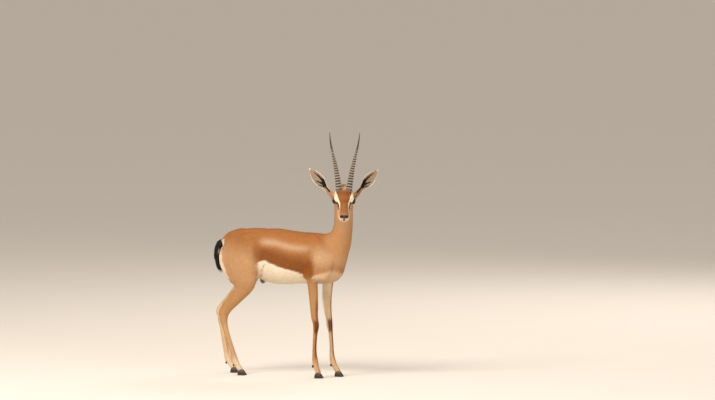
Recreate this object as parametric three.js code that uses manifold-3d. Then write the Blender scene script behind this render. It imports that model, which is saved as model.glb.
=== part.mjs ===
// A gazelle of the Dorcas kind, adult male, standing with its head turned to its
// right. Life size, millimetres: +X forward along the trunk, +Y to the animal's
// left, +Z up, soles of the hooves at z = 0.
import * as THREE from "three";
import { mergeVertices } from "three/addons/utils/BufferGeometryUtils.js";
import Module from "manifold-3d";

const wasm = await Module();
wasm.setup();

// ---- driving dimensions -------------------------------------------------------
const ORIGIN = [44.1, -48.57]; // body-plan X, Y of the part's origin, below the middle of its box
const GAP = 0.35; // clearance between neighbouring pieces
const HEAD_TURN = 24; // degrees: the face looks this far forward of square to the trunk
const HEAD_ROLL = 1.2; // degrees: the crown leans this far to the head's left
const HEAD_PITCH = 31; // degrees: the muzzle points this far down
const EYES_AT = [321, -110, 751]; // midpoint between the eyes
const EYE_AT = [3.5, 33.2, 1.2]; // eyeball centre in the head's frame
const EYE_RADIUS = 14.6;
const EYE_OPENING = [13.2, 9, 8.6]; // half sizes of the opening between the lids
const HORN_RINGS = 16;
const HORN_SIDES = 7;
const HORN_RINGED = 0.72; // share of the horn's length that is ringed
const EAR_LENGTH = 164;
const EAR_THICK = 3;
const CLAW_SPLAY = 5; // degrees between each claw and the line of the foot
const CLAW_SPACING = 7.1; // from the middle of the foot to the middle of a claw

// Tubes: stations of x, y, z, half width across, half depth.
const TRUNK = [
  [-232, 0, 522, 43, 81],
  [-185, 0, 525, 53, 91],
  [-145, 0, 523, 61, 98],
  [-100, 0, 519, 69, 104],
  [-60, 0, 508.5, 76, 114.5],
  [-20, 0, 502.5, 80, 119.5],
  [30, 0, 500, 81, 116.5],
  [80, 0, 499, 79, 112],
  [130, 0, 498, 73, 111],
  [178, 0, 497, 63, 109],
  [216, 0, 496, 53, 98],
  [240, 0, 494, 45, 76],
];
const NECK = [
  [190, 0, 468, 58, 72],
  [218, 0, 515, 55, 66],
  [249, 0, 560, 48, 59],
  [267, -1, 602, 42, 47],
  [276, -6, 642, 39.5, 43.5],
  [283, -19, 685, 40.5, 43],
  [288.5, -32, 725, 41, 42],
  [293, -43, 758, 40, 40],
  [297, -54, 782, 33, 33],
];
const SACRUM = [
  [-190, 0, 590, 34, 24],
  [-235, 0, 574, 24, 20],
  [-270, 0, 560, 11, 10],
];
const TAIL = [
  [-262, 0, 562, 11, 11],
  [-284, 0, 559, 10.5, 11],
  [-299, 0, 541, 11.5, 12],
  [-304, 0, 510, 12.5, 13.5],
  [-301, 0, 478, 12.5, 14],
  [-291, 0, 449, 10, 11.5],
  [-280, 0, 424, 4.5, 5.5],
];
const SHOULDER = [
  [140, 34, 588, 14, 26],
  [163, 46, 548, 21, 42],
  [184, 52, 505, 25, 52],
  [194, 55, 468, 26, 55],
  [182, 58, 436, 25, 46],
];
const FORE_NEAR = [
  [176, 50, 474, 11, 20],
  [167, 57, 436, 18, 35],
  [158.5, 60, 409, 19.5, 26.5],
  [161, 58, 367, 17.5, 22.8],
  [163, 56, 325, 15.8, 21],
  [165, 53, 262, 12.8, 16.8],
  [169.6, 50.5, 232, 13, 14.2],
  [170.8, 50, 214, 13, 13.6],
  [167.5, 49, 186, 9.6, 10.2],
  [164, 48, 141, 8.8, 9.4],
  [163, 47, 104, 9.2, 10],
  [164.5, 46, 80, 12, 12.4],
  [167, 46, 64, 12.8, 13],
  [172, 46, 44, 11.6, 11.4],
  [178, 46, 26, 12.8, 12.2],
];
const FORE_FAR = [
  [184, 50, 474, 11, 20],
  [180, 57, 436, 18, 37],
  [180.5, 59, 409, 19.5, 28],
  [178.5, 58, 372, 17.5, 24.5],
  [177, 56, 322, 15.8, 22],
  [182.6, 54, 270, 12.8, 16.8],
  [189.4, 51.5, 232, 13, 14.2],
  [191.2, 51, 214, 13, 13.6],
  [196.2, 49.5, 182, 9.6, 10],
  [200.6, 48, 138, 8.8, 9.3],
  [202.2, 47, 102, 9.2, 10],
  [204.4, 47, 78, 12, 12.4],
  [208.5, 47, 62, 12.8, 13],
  [217.5, 47, 42, 11.6, 11.4],
  [228, 47, 25, 12.8, 12.2],
];
const HIND_NEAR = [
  [-184, 42, 566, 28, 64],
  [-176, 50, 525, 35, 94],
  [-169.5, 57, 485, 36.5, 97.5],
  [-161, 61, 445, 34, 84],
  [-149.5, 63, 405, 28.5, 60.5],
  [-152, 62.5, 378, 24.5, 46],
  [-170, 60, 348, 20.5, 33],
  [-199, 56.5, 315, 17, 26],
  [-228, 53, 284, 14, 21.5],
  [-246, 50, 256, 13.4, 20],
  [-249, 49, 232, 12.6, 17.6],
  [-244, 48, 204, 10.4, 13.6],
  [-233.5, 47, 165, 9.4, 12.4],
  [-219, 46.5, 122, 9.4, 12.2],
  [-207.5, 46, 88, 10.4, 12.6],
  [-200.5, 46, 66, 12.8, 14.2],
  [-195, 46, 53, 13, 14],
  [-186, 46, 38, 11.8, 12],
  [-176, 46, 25, 12.8, 12.2],
];
const HIND_FAR = [
  [-185, 42, 566, 28, 63],
  [-180, 50, 525, 35, 90],
  [-182, 57, 485, 36.5, 86],
  [-187, 61, 447, 34, 71],
  [-193, 63, 408, 28.5, 54],
  [-206, 62, 378, 24.5, 43],
  [-228, 60, 348, 20.5, 32],
  [-254, 56.5, 315, 17, 26],
  [-281, 53, 282, 14, 21.5],
  [-301, 50, 253, 13.4, 20],
  [-303, 49, 229, 12.6, 17.6],
  [-299.5, 48, 202, 10.4, 13.6],
  [-293.5, 47, 162, 9.2, 12],
  [-285.5, 46.5, 120, 9.2, 11.8],
  [-279, 46, 87, 10.4, 12.4],
  [-273.5, 46, 66, 12.8, 14.2],
  [-269, 46, 53, 13, 14],
  [-260, 46, 38, 11.8, 12],
  [-249, 46, 25, 12.8, 12.2],
];
// Tendon from the calf to the point of the hock.
const HEEL_NEAR = [
  [-205, 58, 352, 7, 8],
  [-240, 54, 305, 7, 8],
  [-262, 50.5, 268, 8.5, 9.5],
  [-262, 49.5, 252, 8, 9],
];
const HEEL_FAR = [
  [-250, 58, 350, 7, 8],
  [-292, 54, 303, 7, 8],
  [-318, 50.5, 266, 8.5, 9.5],
  [-317, 49.5, 250, 8, 9],
];
// x, y, z of the middle of each foot on the floor
const FEET = {
  foreleg_right: [180, -46],
  foreleg_left: [233.5, 47],
  hindleg_right: [-169, -46],
  hindleg_left: [-242, 46],
};
const FETLOCKS = {
  foreleg_right: [156.5, -46, 50],
  foreleg_left: [200.3, 47, 49],
  hindleg_right: [-203.5, -46, 43],
  hindleg_left: [-277.5, 46, 43],
};

// The head in its own frame: x to the nose, y to its left, z up.
const FACE = [
  [-52, 0, 1, 31, 28.5],
  [-22, 0, 5, 34, 31],
  [2, 0, 3, 32.5, 28.5],
  [26, 0, -3.5, 27.5, 24],
  [50, 0, -10.5, 23.8, 20.5],
  [74, 0, -17, 21, 18],
  [91, 0, -20.5, 18.6, 15.5],
];
const JAW = [
  [-36, 0, -31, 24, 22],
  [-10, 0, -34, 22.5, 20],
  [20, 0, -35, 21, 16],
  [50, 0, -36.5, 19.2, 12],
  [74, 0, -38.5, 17, 10],
  [86, 0, -40, 12, 8],
];
const LIP = [
  [95, 12, -30, 7.2, 7.5],
  [80, 18, -29.5, 6.5, 8.5],
  [61, 21, -28.5, 6, 8.5],
  [40, 22.5, -26, 5.5, 7.5],
];
const HORN_FOOT = [
  [-14, 15.5, 14, 13.5, 14.5],
  [-24.5, 18.5, 21.5, 13.5, 14.5],
];
const HEAD_LUMPS = [
  // x, y, z, half sizes along x, y, z, blend: cranium, poll, cheek, orbit, lids,
  // brow, ear base, nose pad, nostril wing, upper lip, chin
  [-38, 0, 6.5, 43, 33, 28.5, 12],
  [-64, 0, 2, 20, 25, 22, 12],
  [-16, 20, -22, 31, 12, 24, 10],
  [-7, 28, 3, 18, 13.5, 16.5, 8],
  [3.5, 33.2, 1.2, 16.3, 16.0, 15.6, 4],
  [-3, 28, 17, 17, 10.5, 8, 7],
  [-50, 31, -2, 14, 12, 17, 8],
  [97, 0, -15.5, 10, 14.5, 9, 5],
  [99, 11.8, -16, 8.6, 7, 8, 4],
  [93, 0, -31, 12.5, 19, 9, 4],
  [86, 0, -42, 10.5, 13, 6.5, 4],
];

// Horn centre line in the level frame that faces forward with the head: out to the
// side, up, back, and the horn's diameter, from its foot on the head to its tip.
const HORN = [
  [20, 36, 10, 27],
  [22.5, 52, 11.5, 26.5],
  [25.5, 76, 16, 24.8],
  [30, 105, 25, 22],
  [35.5, 135, 38.5, 18.8],
  [42, 165, 52.5, 15],
  [49.5, 196, 63, 11],
  [56, 225, 68, 7.6],
  [60.5, 254, 69, 4.6],
  [62.5, 279, 66, 2],
];

// Ear: root and direction out to the side, up and back, in the same level frame.
const EAR_ROOT = [41, 7, 44];
const EAR_DIR = [0.642, 0.724, 0.25];
const EAR_T = [0, 0.12, 0.25, 0.33, 0.42, 0.55, 0.7, 0.85, 0.95, 1];
const EAR_RADIUS = [11, 9.8, 9, 9.8, 16, 26, 29, 31, 32, 33];
const EAR_HT = [0, 0.1, 0.2, 0.3, 0.36, 0.42, 0.47, 0.52, 0.6, 0.7, 0.79, 0.87, 0.93, 0.975, 1];
const EAR_HALF = [9, 8.8, 8.6, 8.8, 10, 13, 17, 20.4, 22.6, 21.8, 18.8, 14.2, 9.2, 4.8, 1.4];
const EAR_WRAP_T = [0, 0.16, 0.28, 0.38];
const EAR_WRAP = [1, 0.8, 0.35, 0];

// Claw sections from heel to toe: along the foot, half width, height.
const CLAW = [
  [-15, 3.6, 11.5],
  [-11, 5.4, 19.5],
  [-3.5, 6.5, 27],
  [4.5, 6.2, 23],
  [12, 4.9, 14],
  [18.5, 2.2, 4.5],
];

// ---- small maths ----------------------------------------------------------------
const rad = THREE.MathUtils.degToRad;
const add = (a, b, s = 1) => [a[0] + b[0] * s, a[1] + b[1] * s, a[2] + b[2] * s];
const sub = (a, b) => [a[0] - b[0], a[1] - b[1], a[2] - b[2]];
const dot = (a, b) => a[0] * b[0] + a[1] * b[1] + a[2] * b[2];
const cross = (a, b) => [
  a[1] * b[2] - a[2] * b[1],
  a[2] * b[0] - a[0] * b[2],
  a[0] * b[1] - a[1] * b[0],
];
const unit = (a) => {
  const n = Math.hypot(...a);
  return [a[0] / n, a[1] / n, a[2] / n];
};
const lerp = (a, b, t) => a.map((v, i) => v + (b[i] - v) * t);
const clamp = (v, lo, hi) => Math.min(Math.max(v, lo), hi);
function table(t, xs, ys) {
  if (t <= xs[0]) return ys[0];
  for (let i = 1; i < xs.length; i++)
    if (t <= xs[i])
      return ys[i - 1] + ((ys[i] - ys[i - 1]) * (t - xs[i - 1])) / (xs[i] - xs[i - 1]);
  return ys.at(-1);
}
const mirrored = (st) => st.map((s) => [s[0], -s[1], ...s.slice(2)]);

// Catmull-Rom refinement of a list of stations.
function dense(st, n) {
  const first = st[0].map((v, i) => 2 * v - st[1][i]);
  const last = st.at(-1).map((v, i) => 2 * v - st.at(-2)[i]);
  const e = [first, ...st, last],
    out = [];
  for (let i = 0; i < st.length - 1; i++)
    for (let j = 0; j < n; j++) {
      const t = j / n;
      out.push(
        e[i].map((_, k) => {
          const [p0, p1, p2, p3] = [e[i][k], e[i + 1][k], e[i + 2][k], e[i + 3][k]];
          return (
            0.5 *
            (2 * p1 +
              (p2 - p0) * t +
              (2 * p0 - 5 * p1 + 4 * p2 - p3) * t * t +
              (3 * p1 - p0 - 3 * p2 + p3) * t ** 3)
          );
        }),
      );
    }
  out.push(st.at(-1));
  return out;
}

// ---- frames ------------------------------------------------------------------------
const TURN = rad(HEAD_TURN),
  PITCH = rad(HEAD_PITCH),
  ROLL = rad(HEAD_ROLL);
const FACING = [Math.sin(TURN), -Math.cos(TURN), 0];
const SIDE = cross([0, 0, 1], FACING);
const UP = [0, 0, 1].map((v, i) => v * Math.cos(ROLL) + SIDE[i] * Math.sin(ROLL));
const HEAD_LEFT = cross(UP, FACING);
const HEAD_X = FACING.map((v, i) => v * Math.cos(PITCH) - UP[i] * Math.sin(PITCH));
const HEAD_Z = FACING.map((v, i) => v * Math.sin(PITCH) + UP[i] * Math.cos(PITCH));
const toHead = (p) => {
  const d = sub(p, EYES_AT);
  return [dot(d, HEAD_X), dot(d, HEAD_LEFT), dot(d, HEAD_Z)];
};
const fromHead = (q) =>
  add(add(add(EYES_AT, HEAD_X, q[0]), HEAD_LEFT, q[1]), HEAD_Z, q[2]);
// side is 1 on the head's left and -1 on its right
const level = (side, out, up, back) =>
  add(add(add(EYES_AT, HEAD_LEFT, out * side), UP, up), FACING, -back);

// ---- fields: negative inside, roughly millimetres to the surface ----------------------
const FAR = 1e3,
  REACH = 45; // a tube's segments are passed over beyond this
function ellipse(x, y, z, a, b, c) {
  const k0 = Math.hypot(x / a, y / b, z / c) + 1e-9;
  const k1 = Math.hypot(x / a ** 2, y / b ** 2, z / c ** 2) + 1e-9;
  return (k0 * (k0 - 1)) / k1;
}
function tube(stations, across) {
  const segs = [];
  for (let i = 0; i < stations.length - 1; i++) {
    const A = stations[i],
      B = stations[i + 1],
      D = sub(B, A),
      L2 = dot(D, D),
      ax = unit(D),
      lat = across(A),
      l = unit(add(lat, ax, -dot(lat, ax))),
      fo = cross(ax, l),
      m = Math.max(A[3], A[4], B[3], B[4]) + REACH;
    segs.push({
      A, D, L2, ax, l, fo,
      a: A[3], da: B[3] - A[3], b: A[4], db: B[4] - A[4],
      lo: [0, 1, 2].map((k) => Math.min(A[k], B[k]) - m),
      hi: [0, 1, 2].map((k) => Math.max(A[k], B[k]) + m),
    });
  }
  return (p) => {
    let best = FAR;
    for (const s of segs) {
      if (p[0] < s.lo[0] || p[0] > s.hi[0] || p[1] < s.lo[1] || p[1] > s.hi[1] || p[2] < s.lo[2] || p[2] > s.hi[2])
        continue;
      const d = sub(p, s.A),
        t = clamp(dot(d, s.D) / s.L2, 0, 1),
        q = add(d, s.D, -t),
        a = s.a + s.da * t,
        b = s.b + s.db * t,
        v = ellipse(dot(q, s.l), dot(q, s.fo), dot(q, s.ax), a, b, Math.min(a, b));
      if (v < best) best = v;
    }
    return best;
  };
}
const lump = (p, c, r) => ellipse(p[0] - c[0], p[1] - c[1], p[2] - c[2], ...r);
function smin(a, b, k) {
  const h = Math.max(k - Math.abs(a - b), 0) / k;
  return Math.min(a, b) - h * h * k * 0.25;
}
const LATERAL = () => [0, 1, 0];
const neckAcross = (s) => {
  let w = clamp((s[2] - 600) / 170, 0, 1);
  w = w * w * (3 - 2 * w);
  return lerp([0, 1, 0], HEAD_LEFT, w);
};

const trunkTube = tube(dense(TRUNK, 4), LATERAL),
  sacrumTube = tube(dense(SACRUM, 2), LATERAL),
  shoulders = [mirrored(dense(SHOULDER, 3)), dense(SHOULDER, 3)].map((s) => tube(s, LATERAL)),
  neckTube = tube(dense(NECK, 4), neckAcross),
  tailTube = tube(dense(TAIL, 3), LATERAL);
function trunkField(p) {
  let f = smin(trunkTube(p), sacrumTube(p), 20);
  for (const s of shoulders) f = smin(f, s(p), 16);
  f = smin(f, lump(p, [20, 0, 470], [115, 84, 74]), 20); // ribs
  f = smin(f, lump(p, [-124, Math.sign(p[1]) * 47, 580], [34, 17, 20]), 18); // hip
  f = smin(f, lump(p, [-90, 0, 402], [15, 12, 17]), 12); // groin
  return smin(f, lump(p, [230, 0, 448], [39, 38, 42]), 18); // brisket
}
const LEGS = {
  foreleg_right: mirrored(FORE_NEAR),
  foreleg_left: FORE_FAR,
  hindleg_right: mirrored(HIND_NEAR),
  hindleg_left: HIND_FAR,
};
const HEELS = { hindleg_right: mirrored(HEEL_NEAR), hindleg_left: HEEL_FAR };
function legField(name) {
  const limb = tube(dense(LEGS[name], 3), LATERAL);
  if (HEELS[name]) {
    const heel = tube(dense(HEELS[name], 2), LATERAL);
    return (p) => smin(limb(p), heel(p), 7);
  }
  return limb;
}
const faceTube = tube(dense(FACE, 3), LATERAL),
  jawTube = tube(dense(JAW, 3), LATERAL),
  lipTube = tube(dense(LIP, 2), LATERAL),
  footTube = tube(HORN_FOOT, LATERAL);
function headField(q) {
  const m = [q[0], Math.abs(q[1]), q[2]];
  let f = smin(faceTube(m), jawTube(m), 12);
  f = smin(f, lipTube(m), 5);
  f = smin(f, footTube(m), 8);
  for (const [x, y, z, a, b, c, k] of HEAD_LUMPS) f = smin(f, lump(m, [x, y, z], [a, b, c]), k);
  return f;
}

// ---- meshes ---------------------------------------------------------------------------
// A closed surface from rings of points, with one point closing each end.
function loftData(rings, start, end) {
  const n = rings[0].length,
    pts = [start, ...rings.flat(), end],
    tri = [],
    at = (r, i) => 1 + r * n + (i % n),
    last = pts.length - 1;
  for (let i = 0; i < n; i++) tri.push(0, at(0, i + 1), at(0, i));
  for (let r = 0; r < rings.length - 1; r++)
    for (let i = 0; i < n; i++) {
      const a = at(r, i), b = at(r, i + 1), c = at(r + 1, i + 1), d = at(r + 1, i);
      // the shorter diagonal follows the form better
      const ac = Math.hypot(...sub(pts[a], pts[c])), bd = Math.hypot(...sub(pts[b], pts[d]));
      if (ac <= bd) tri.push(a, b, c, a, c, d);
      else tri.push(a, b, d, b, c, d);
    }
  for (let i = 0; i < n; i++) tri.push(last, at(rings.length - 1, i), at(rings.length - 1, i + 1));
  return { pts, tri };
}
function solid({ pts, tri }) {
  const make = (t) =>
    new wasm.Manifold(
      new wasm.Mesh({
        numProp: 3,
        vertProperties: new Float32Array(pts.flat()),
        triVerts: new Uint32Array(t),
      }),
    );
  let s = make(tri);
  if (s.volume() < 0) {
    for (let i = 0; i < tri.length; i += 3) [tri[i + 1], tri[i + 2]] = [tri[i + 2], tri[i + 1]];
    s = make(tri);
  }
  return s;
}
const loft = (rings, start, end) => solid(loftData(rings, start, end));
// From c along d to where the field reaches the level off.
function cast(field, c, d, off) {
  let r = 0,
    before = 0;
  for (let i = 0; i < 400; i++) {
    const f = field(add(c, d, r)) - off;
    if (f >= 0) break;
    before = r;
    r += Math.max(0.6, -f * 0.85);
  }
  let lo = before,
    hi = r;
  for (let i = 0; i < 14; i++) {
    const m = (lo + hi) / 2;
    if (field(add(c, d, m)) - off < 0) lo = m;
    else hi = m;
  }
  return add(c, d, (lo + hi) / 2);
}
// Rings cast square to a centre line onto a field, with rounded ends cast from its end points.
function castLoft(field, line, across, sides, { off = 0, caps = [30, 60], phase = 0 } = {}) {
  const rings = [];
  const frame = (i) => {
    const a = line[Math.max(i - 1, 0)], b = line[Math.min(i + 1, line.length - 1)];
    const ax = unit(sub(b, a)), lat = across(line[i]);
    const l = unit(add(lat, ax, -dot(lat, ax)));
    return { ax, l, fo: cross(ax, l) };
  };
  const ring = (i, tilt) => {
    const { ax, l, fo } = frame(i), out = [];
    for (let k = 0; k < sides; k++) {
      const th = ((k + phase) / sides) * 2 * Math.PI;
      let d = add(l.map((v) => v * Math.cos(th)), fo, Math.sin(th));
      d = add(d.map((v) => v * Math.cos(tilt)), ax, Math.sin(tilt));
      out.push(cast(field, line[i].slice(0, 3), d, off));
    }
    return out;
  };
  for (const a of [...caps].reverse()) rings.push(ring(0, -rad(a)));
  line.forEach((_, i) => rings.push(ring(i, 0)));
  for (const a of caps) rings.push(ring(line.length - 1, rad(a)));
  const n = line.length - 1;
  return loft(
    rings,
    cast(field, line[0].slice(0, 3), frame(0).ax.map((v) => -v), off),
    cast(field, line[n].slice(0, 3), frame(n).ax, off),
  );
}
const largest = (s) => s.decompose().sort((a, b) => b.volume() - a.volume())[0];
function cut(s, ...cutters) {
  for (const c of cutters) s = s.subtract(c);
  return largest(s);
}

// ---- trunk, neck and tail ------------------------------------------------------------------
const trunkLine = [];
for (let i = 0; i <= 16; i++) trunkLine.push([-196 + (404 * i) / 16, 0, 525 - (30 * i) / 16]);
const trunkAt = (off) => castLoft(trunkField, trunkLine, LATERAL, 22, { off, caps: [25, 55] });
const trunk = trunkAt(0),
  trunkOut = trunkAt(GAP);

const headLine = [];
for (let i = 0; i <= 15; i++) headLine.push([-60 + (145 * i) / 15, 0, 0 - (25 * i) / 15]);
const headSolid = (off) => {
  const s = castLoft(headField, headLine, LATERAL, 20, { off, caps: [25, 50, 72] });
  const m = new THREE.Matrix4()
    .makeBasis(new THREE.Vector3(...HEAD_X), new THREE.Vector3(...HEAD_LEFT), new THREE.Vector3(...HEAD_Z))
    .setPosition(...EYES_AT);
  return s.transform(m.elements);
};
const headOut = headSolid(GAP);

const neckAt = (off) => castLoft(neckTube, dense(NECK, 2).slice(1), neckAcross, 18, { off, caps: [35] });
const neck = cut(neckAt(0), trunkOut),
  neckOut = neckAt(GAP);
const tail = cut(castLoft(tailTube, dense(TAIL, 2).slice(1), LATERAL, 9, { caps: [40] }), trunkOut);

// ---- eyes and head ------------------------------------------------------------------------------
function ball(centre, r, detail) {
  const g = new THREE.IcosahedronGeometry(1, detail);
  g.deleteAttribute("normal");
  g.deleteAttribute("uv");
  const m = mergeVertices(g, 1e-4),
    p = m.attributes.position.array,
    pts = [];
  for (let i = 0; i < p.length; i += 3)
    pts.push([centre[0] + p[i] * r[0], centre[1] + p[i + 1] * r[1], centre[2] + p[i + 2] * r[2]]);
  return { pts, tri: [...m.index.array] };
}
const inHead = (data) => solid({ pts: data.pts.map(fromHead), tri: data.tri });
const sided = (c, s) => [c[0], c[1] * s, c[2]];
const eye = (s, grow = 0) => {
  const r = EYE_RADIUS + grow;
  return inHead(ball(sided(EYE_AT, s), [r, r, r], 2));
};
const eyeOpening = (s) =>
  inHead(ball([EYE_AT[0] + 6, (EYE_AT[1] + 15) * s, EYE_AT[2] + 1], EYE_OPENING, 2));
const head = cut(headSolid(0), neckOut, eye(1, GAP), eye(-1, GAP), eyeOpening(1), eyeOpening(-1));

// ---- horns ------------------------------------------------------------------------------------------
function horn(side) {
  const line = dense(HORN.map((h) => [...level(side, h[0], h[1], h[2]), h[3]]), 24);
  const run = [0];
  for (let i = 1; i < line.length; i++) run.push(run[i - 1] + Math.hypot(...sub(line[i], line[i - 1])));
  const at = (t) => {
    const s = t * run.at(-1);
    let i = 1;
    while (i < run.length - 1 && run[i] < s) i++;
    return { p: lerp(line[i - 1], line[i], (s - run[i - 1]) / (run[i] - run[i - 1])), ax: unit(sub(line[i], line[i - 1])) };
  };
  // ridges along the ringed part, then the smooth tip
  const stations = [];
  for (let i = 0; i < HORN_RINGS; i++) {
    const t = 0.035 + ((HORN_RINGED - 0.035) * i) / HORN_RINGS;
    stations.push([t, -1], [t + (HORN_RINGED * 0.42) / HORN_RINGS, 1]);
  }
  for (const t of [0.7, 0.78, 0.86, 0.93, 0.975]) stations.push([t, 0]);
  const ring = (t, swell) => {
    const { p, ax } = at(t);
    const l = unit(add(HEAD_LEFT, ax, -dot(HEAD_LEFT, ax))), fo = cross(ax, l), out = [];
    const r = p[3] / 2 + swell * (0.35 + 0.45 * (1 - t));
    for (let k = 0; k < HORN_SIDES; k++) {
      const th = ((k + 0.5) / HORN_SIDES) * 2 * Math.PI;
      out.push(add(add(p.slice(0, 3), l, r * 0.95 * Math.cos(th)), fo, r * 1.05 * Math.sin(th)));
    }
    return out;
  };
  return cut(
    loft([ring(0, 0), ...stations.map(([t, s]) => ring(t, s))], at(0).p.slice(0, 3), at(1).p.slice(0, 3)),
    headOut,
  );
}

// ---- ears ---------------------------------------------------------------------------------------------
function ear(side) {
  const root = level(side, ...EAR_ROOT);
  const lat = HEAD_LEFT.map((v) => v * side);
  const s = unit(add(add(lat.map((v) => v * EAR_DIR[0]), UP, EAR_DIR[1]), FACING, -EAR_DIR[2]));
  let n = unit(add(FACING, s, -dot(FACING, s)));
  n = add(n, lat, 0.12);
  n = unit(add(n, s, -dot(n, s)));
  let w = cross(s, n);
  if (w[2] > 0) w = w.map((v) => -v);
  const rings = [],
    ts = [-0.02, 0.1, 0.2, 0.3, 0.37, 0.43, 0.5, 0.6, 0.71, 0.81, 0.89, 0.945, 0.98];
  const mids = [];
  for (const t0 of ts) {
    const t = clamp(t0, 0, 1),
      R = table(t, EAR_T, EAR_RADIUS),
      wrap = table(t, EAR_WRAP_T, EAR_WRAP),
      half = Math.asin(clamp(table(t, EAR_HT, EAR_HALF) / R, 0, 0.97)) * (1 - wrap) + 2.75 * wrap,
      bow = 9 * (2 * t - 1) ** 2 - 9,
      place = (phi, r) => {
        const y = r * Math.sin(phi), z = r * Math.cos(phi);
        // z runs to the ear's back, measured from the cup's centre
        return add(add(add(root, s, t0 * EAR_LENGTH), w, y), n, bow + R - 13 - z);
      },
      ring = [];
    for (let k = 0; k <= 6; k++) ring.push(place(-half + (half * k) / 3, R + EAR_THICK / 2));
    const inner = R - EAR_THICK / 2 - 8 * clamp(1 - t / 0.3, 0, 1) ** 2; // thicker at the root
    for (let k = 6; k >= 0; k--) ring.push(place(-half + (half * k) / 3, inner));
    rings.push(ring);
    mids.push(place(0, R));
  }
  const tip = add(mids.at(-1), s, EAR_LENGTH * 0.015);
  return cut(loft(rings, mids[0], tip), headOut, neckOut);
}

// ---- feet -----------------------------------------------------------------------------------------------
function claw(name, side, grow = 0) {
  const [x, y] = FEET[name],
    turn = rad(CLAW_SPLAY) * side,
    fwd = [Math.cos(turn), Math.sin(turn), 0],
    out = [-Math.sin(turn), Math.cos(turn), 0],
    base = [x, y + CLAW_SPACING * side, 0];
  const rings = CLAW.map(([s, w, h], i) => {
    const g = grow, ww = w + g, hh = h + g, low = -g;
    const end = i === 0 ? -g : i === CLAW.length - 1 ? g : 0;
    return [
      [-0.94 * ww, low], [0.94 * ww, low], [ww, hh * 0.42], [0.6 * ww, hh], [-0.6 * ww, hh], [-ww, hh * 0.42],
    ].map(([u, z]) => add(add(base, fwd, s + end), out, u).map((v, k) => (k === 2 ? z : v)));
  });
  const mid = (r) => [0, 1, 2].map((k) => r.reduce((t, p) => t + p[k], 0) / r.length);
  return loft(rings, mid(rings[0]), mid(rings.at(-1)));
}
function dewclaw(name, side, grow = 0) {
  const [x, y, z] = FETLOCKS[name];
  const g = new THREE.SphereGeometry(1, 7, 5);
  g.deleteAttribute("normal");
  g.deleteAttribute("uv");
  g.scale(4.2 + grow, 3.6 + grow, 7.4 + grow);
  g.rotateY(rad(28)).translate(x, y + 6.6 * side, z);
  const m = mergeVertices(g, 1e-4), p = m.attributes.position.array, pts = [];
  for (let i = 0; i < p.length; i += 3) pts.push([p[i], p[i + 1], p[i + 2]]);
  return solid({ pts, tri: [...m.index.array] });
}

// ---- assembly ----------------------------------------------------------------------------------------------
const group = new THREE.Group();
group.position.set(-ORIGIN[0], -ORIGIN[1], 0);
function piece(name, s, color, roughness, metalness = 0) {
  const m = s.getMesh(),
    n = m.numProp,
    v = new Float32Array(m.numVert * 3);
  for (let i = 0; i < m.numVert; i++) v.set(m.vertProperties.subarray(i * n, i * n + 3), i * 3);
  const g = new THREE.BufferGeometry()
    .setAttribute("position", new THREE.BufferAttribute(v, 3))
    .setIndex(new THREE.BufferAttribute(new Uint32Array(m.triVerts), 1));
  g.computeVertexNormals();
  const mesh = new THREE.Mesh(g, new THREE.MeshStandardMaterial({ color, roughness, metalness }));
  mesh.name = name;
  group.add(mesh);
  return s;
}
const FAWN = 0xc08a52, TAN = 0xd0a46c, KERATIN = 0x2a211c, HORN_GREY = 0x5a4b42;
piece("trunk", trunk, FAWN, 0.85);
piece("neck", neck, FAWN, 0.85);
piece("head", head, 0xb9794a, 0.85);
piece("tail", tail, 0x1c130f, 0.8);
for (const [side, word] of [[1, "left"], [-1, "right"]]) {
  piece("eye_" + word, eye(side), 0x120c0a, 0.06);
  piece("horn_" + word, horn(side), HORN_GREY, 0.5);
  piece("ear_" + word, ear(side), 0xd8c4a4, 0.85);
}
for (const name of Object.keys(LEGS)) {
  const hind = name.startsWith("hind"),
    place = name.replace("leg", "");
  const line = dense(LEGS[name], hind ? 1 : 1);
  const solidAt = (off) => castLoft(legField(name), line, LATERAL, hind ? 12 : 10, { off, caps: [45] });
  const claws = { outer: LEGS[name][0][1] > 0 ? 1 : -1 };
  claws.inner = -claws.outer;
  const leg = cut(solidAt(0), trunkOut, claw(name, 1, GAP), claw(name, -1, GAP));
  const legOut = solidAt(GAP);
  piece(name, leg, TAN, 0.85);
  for (const word of ["outer", "inner"]) {
    piece("hoof_" + place + "_" + word, claw(name, claws[word]), KERATIN, 0.45);
    piece("dewclaw_" + place + "_" + word, cut(dewclaw(name, claws[word]), legOut), KERATIN, 0.45);
  }
}

export default group;
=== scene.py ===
# A gazelle of the Dorcas kind, adult male, life size, standing with its head turned
# to its right: skin, coat, horns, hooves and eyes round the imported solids.
import math
import time

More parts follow.
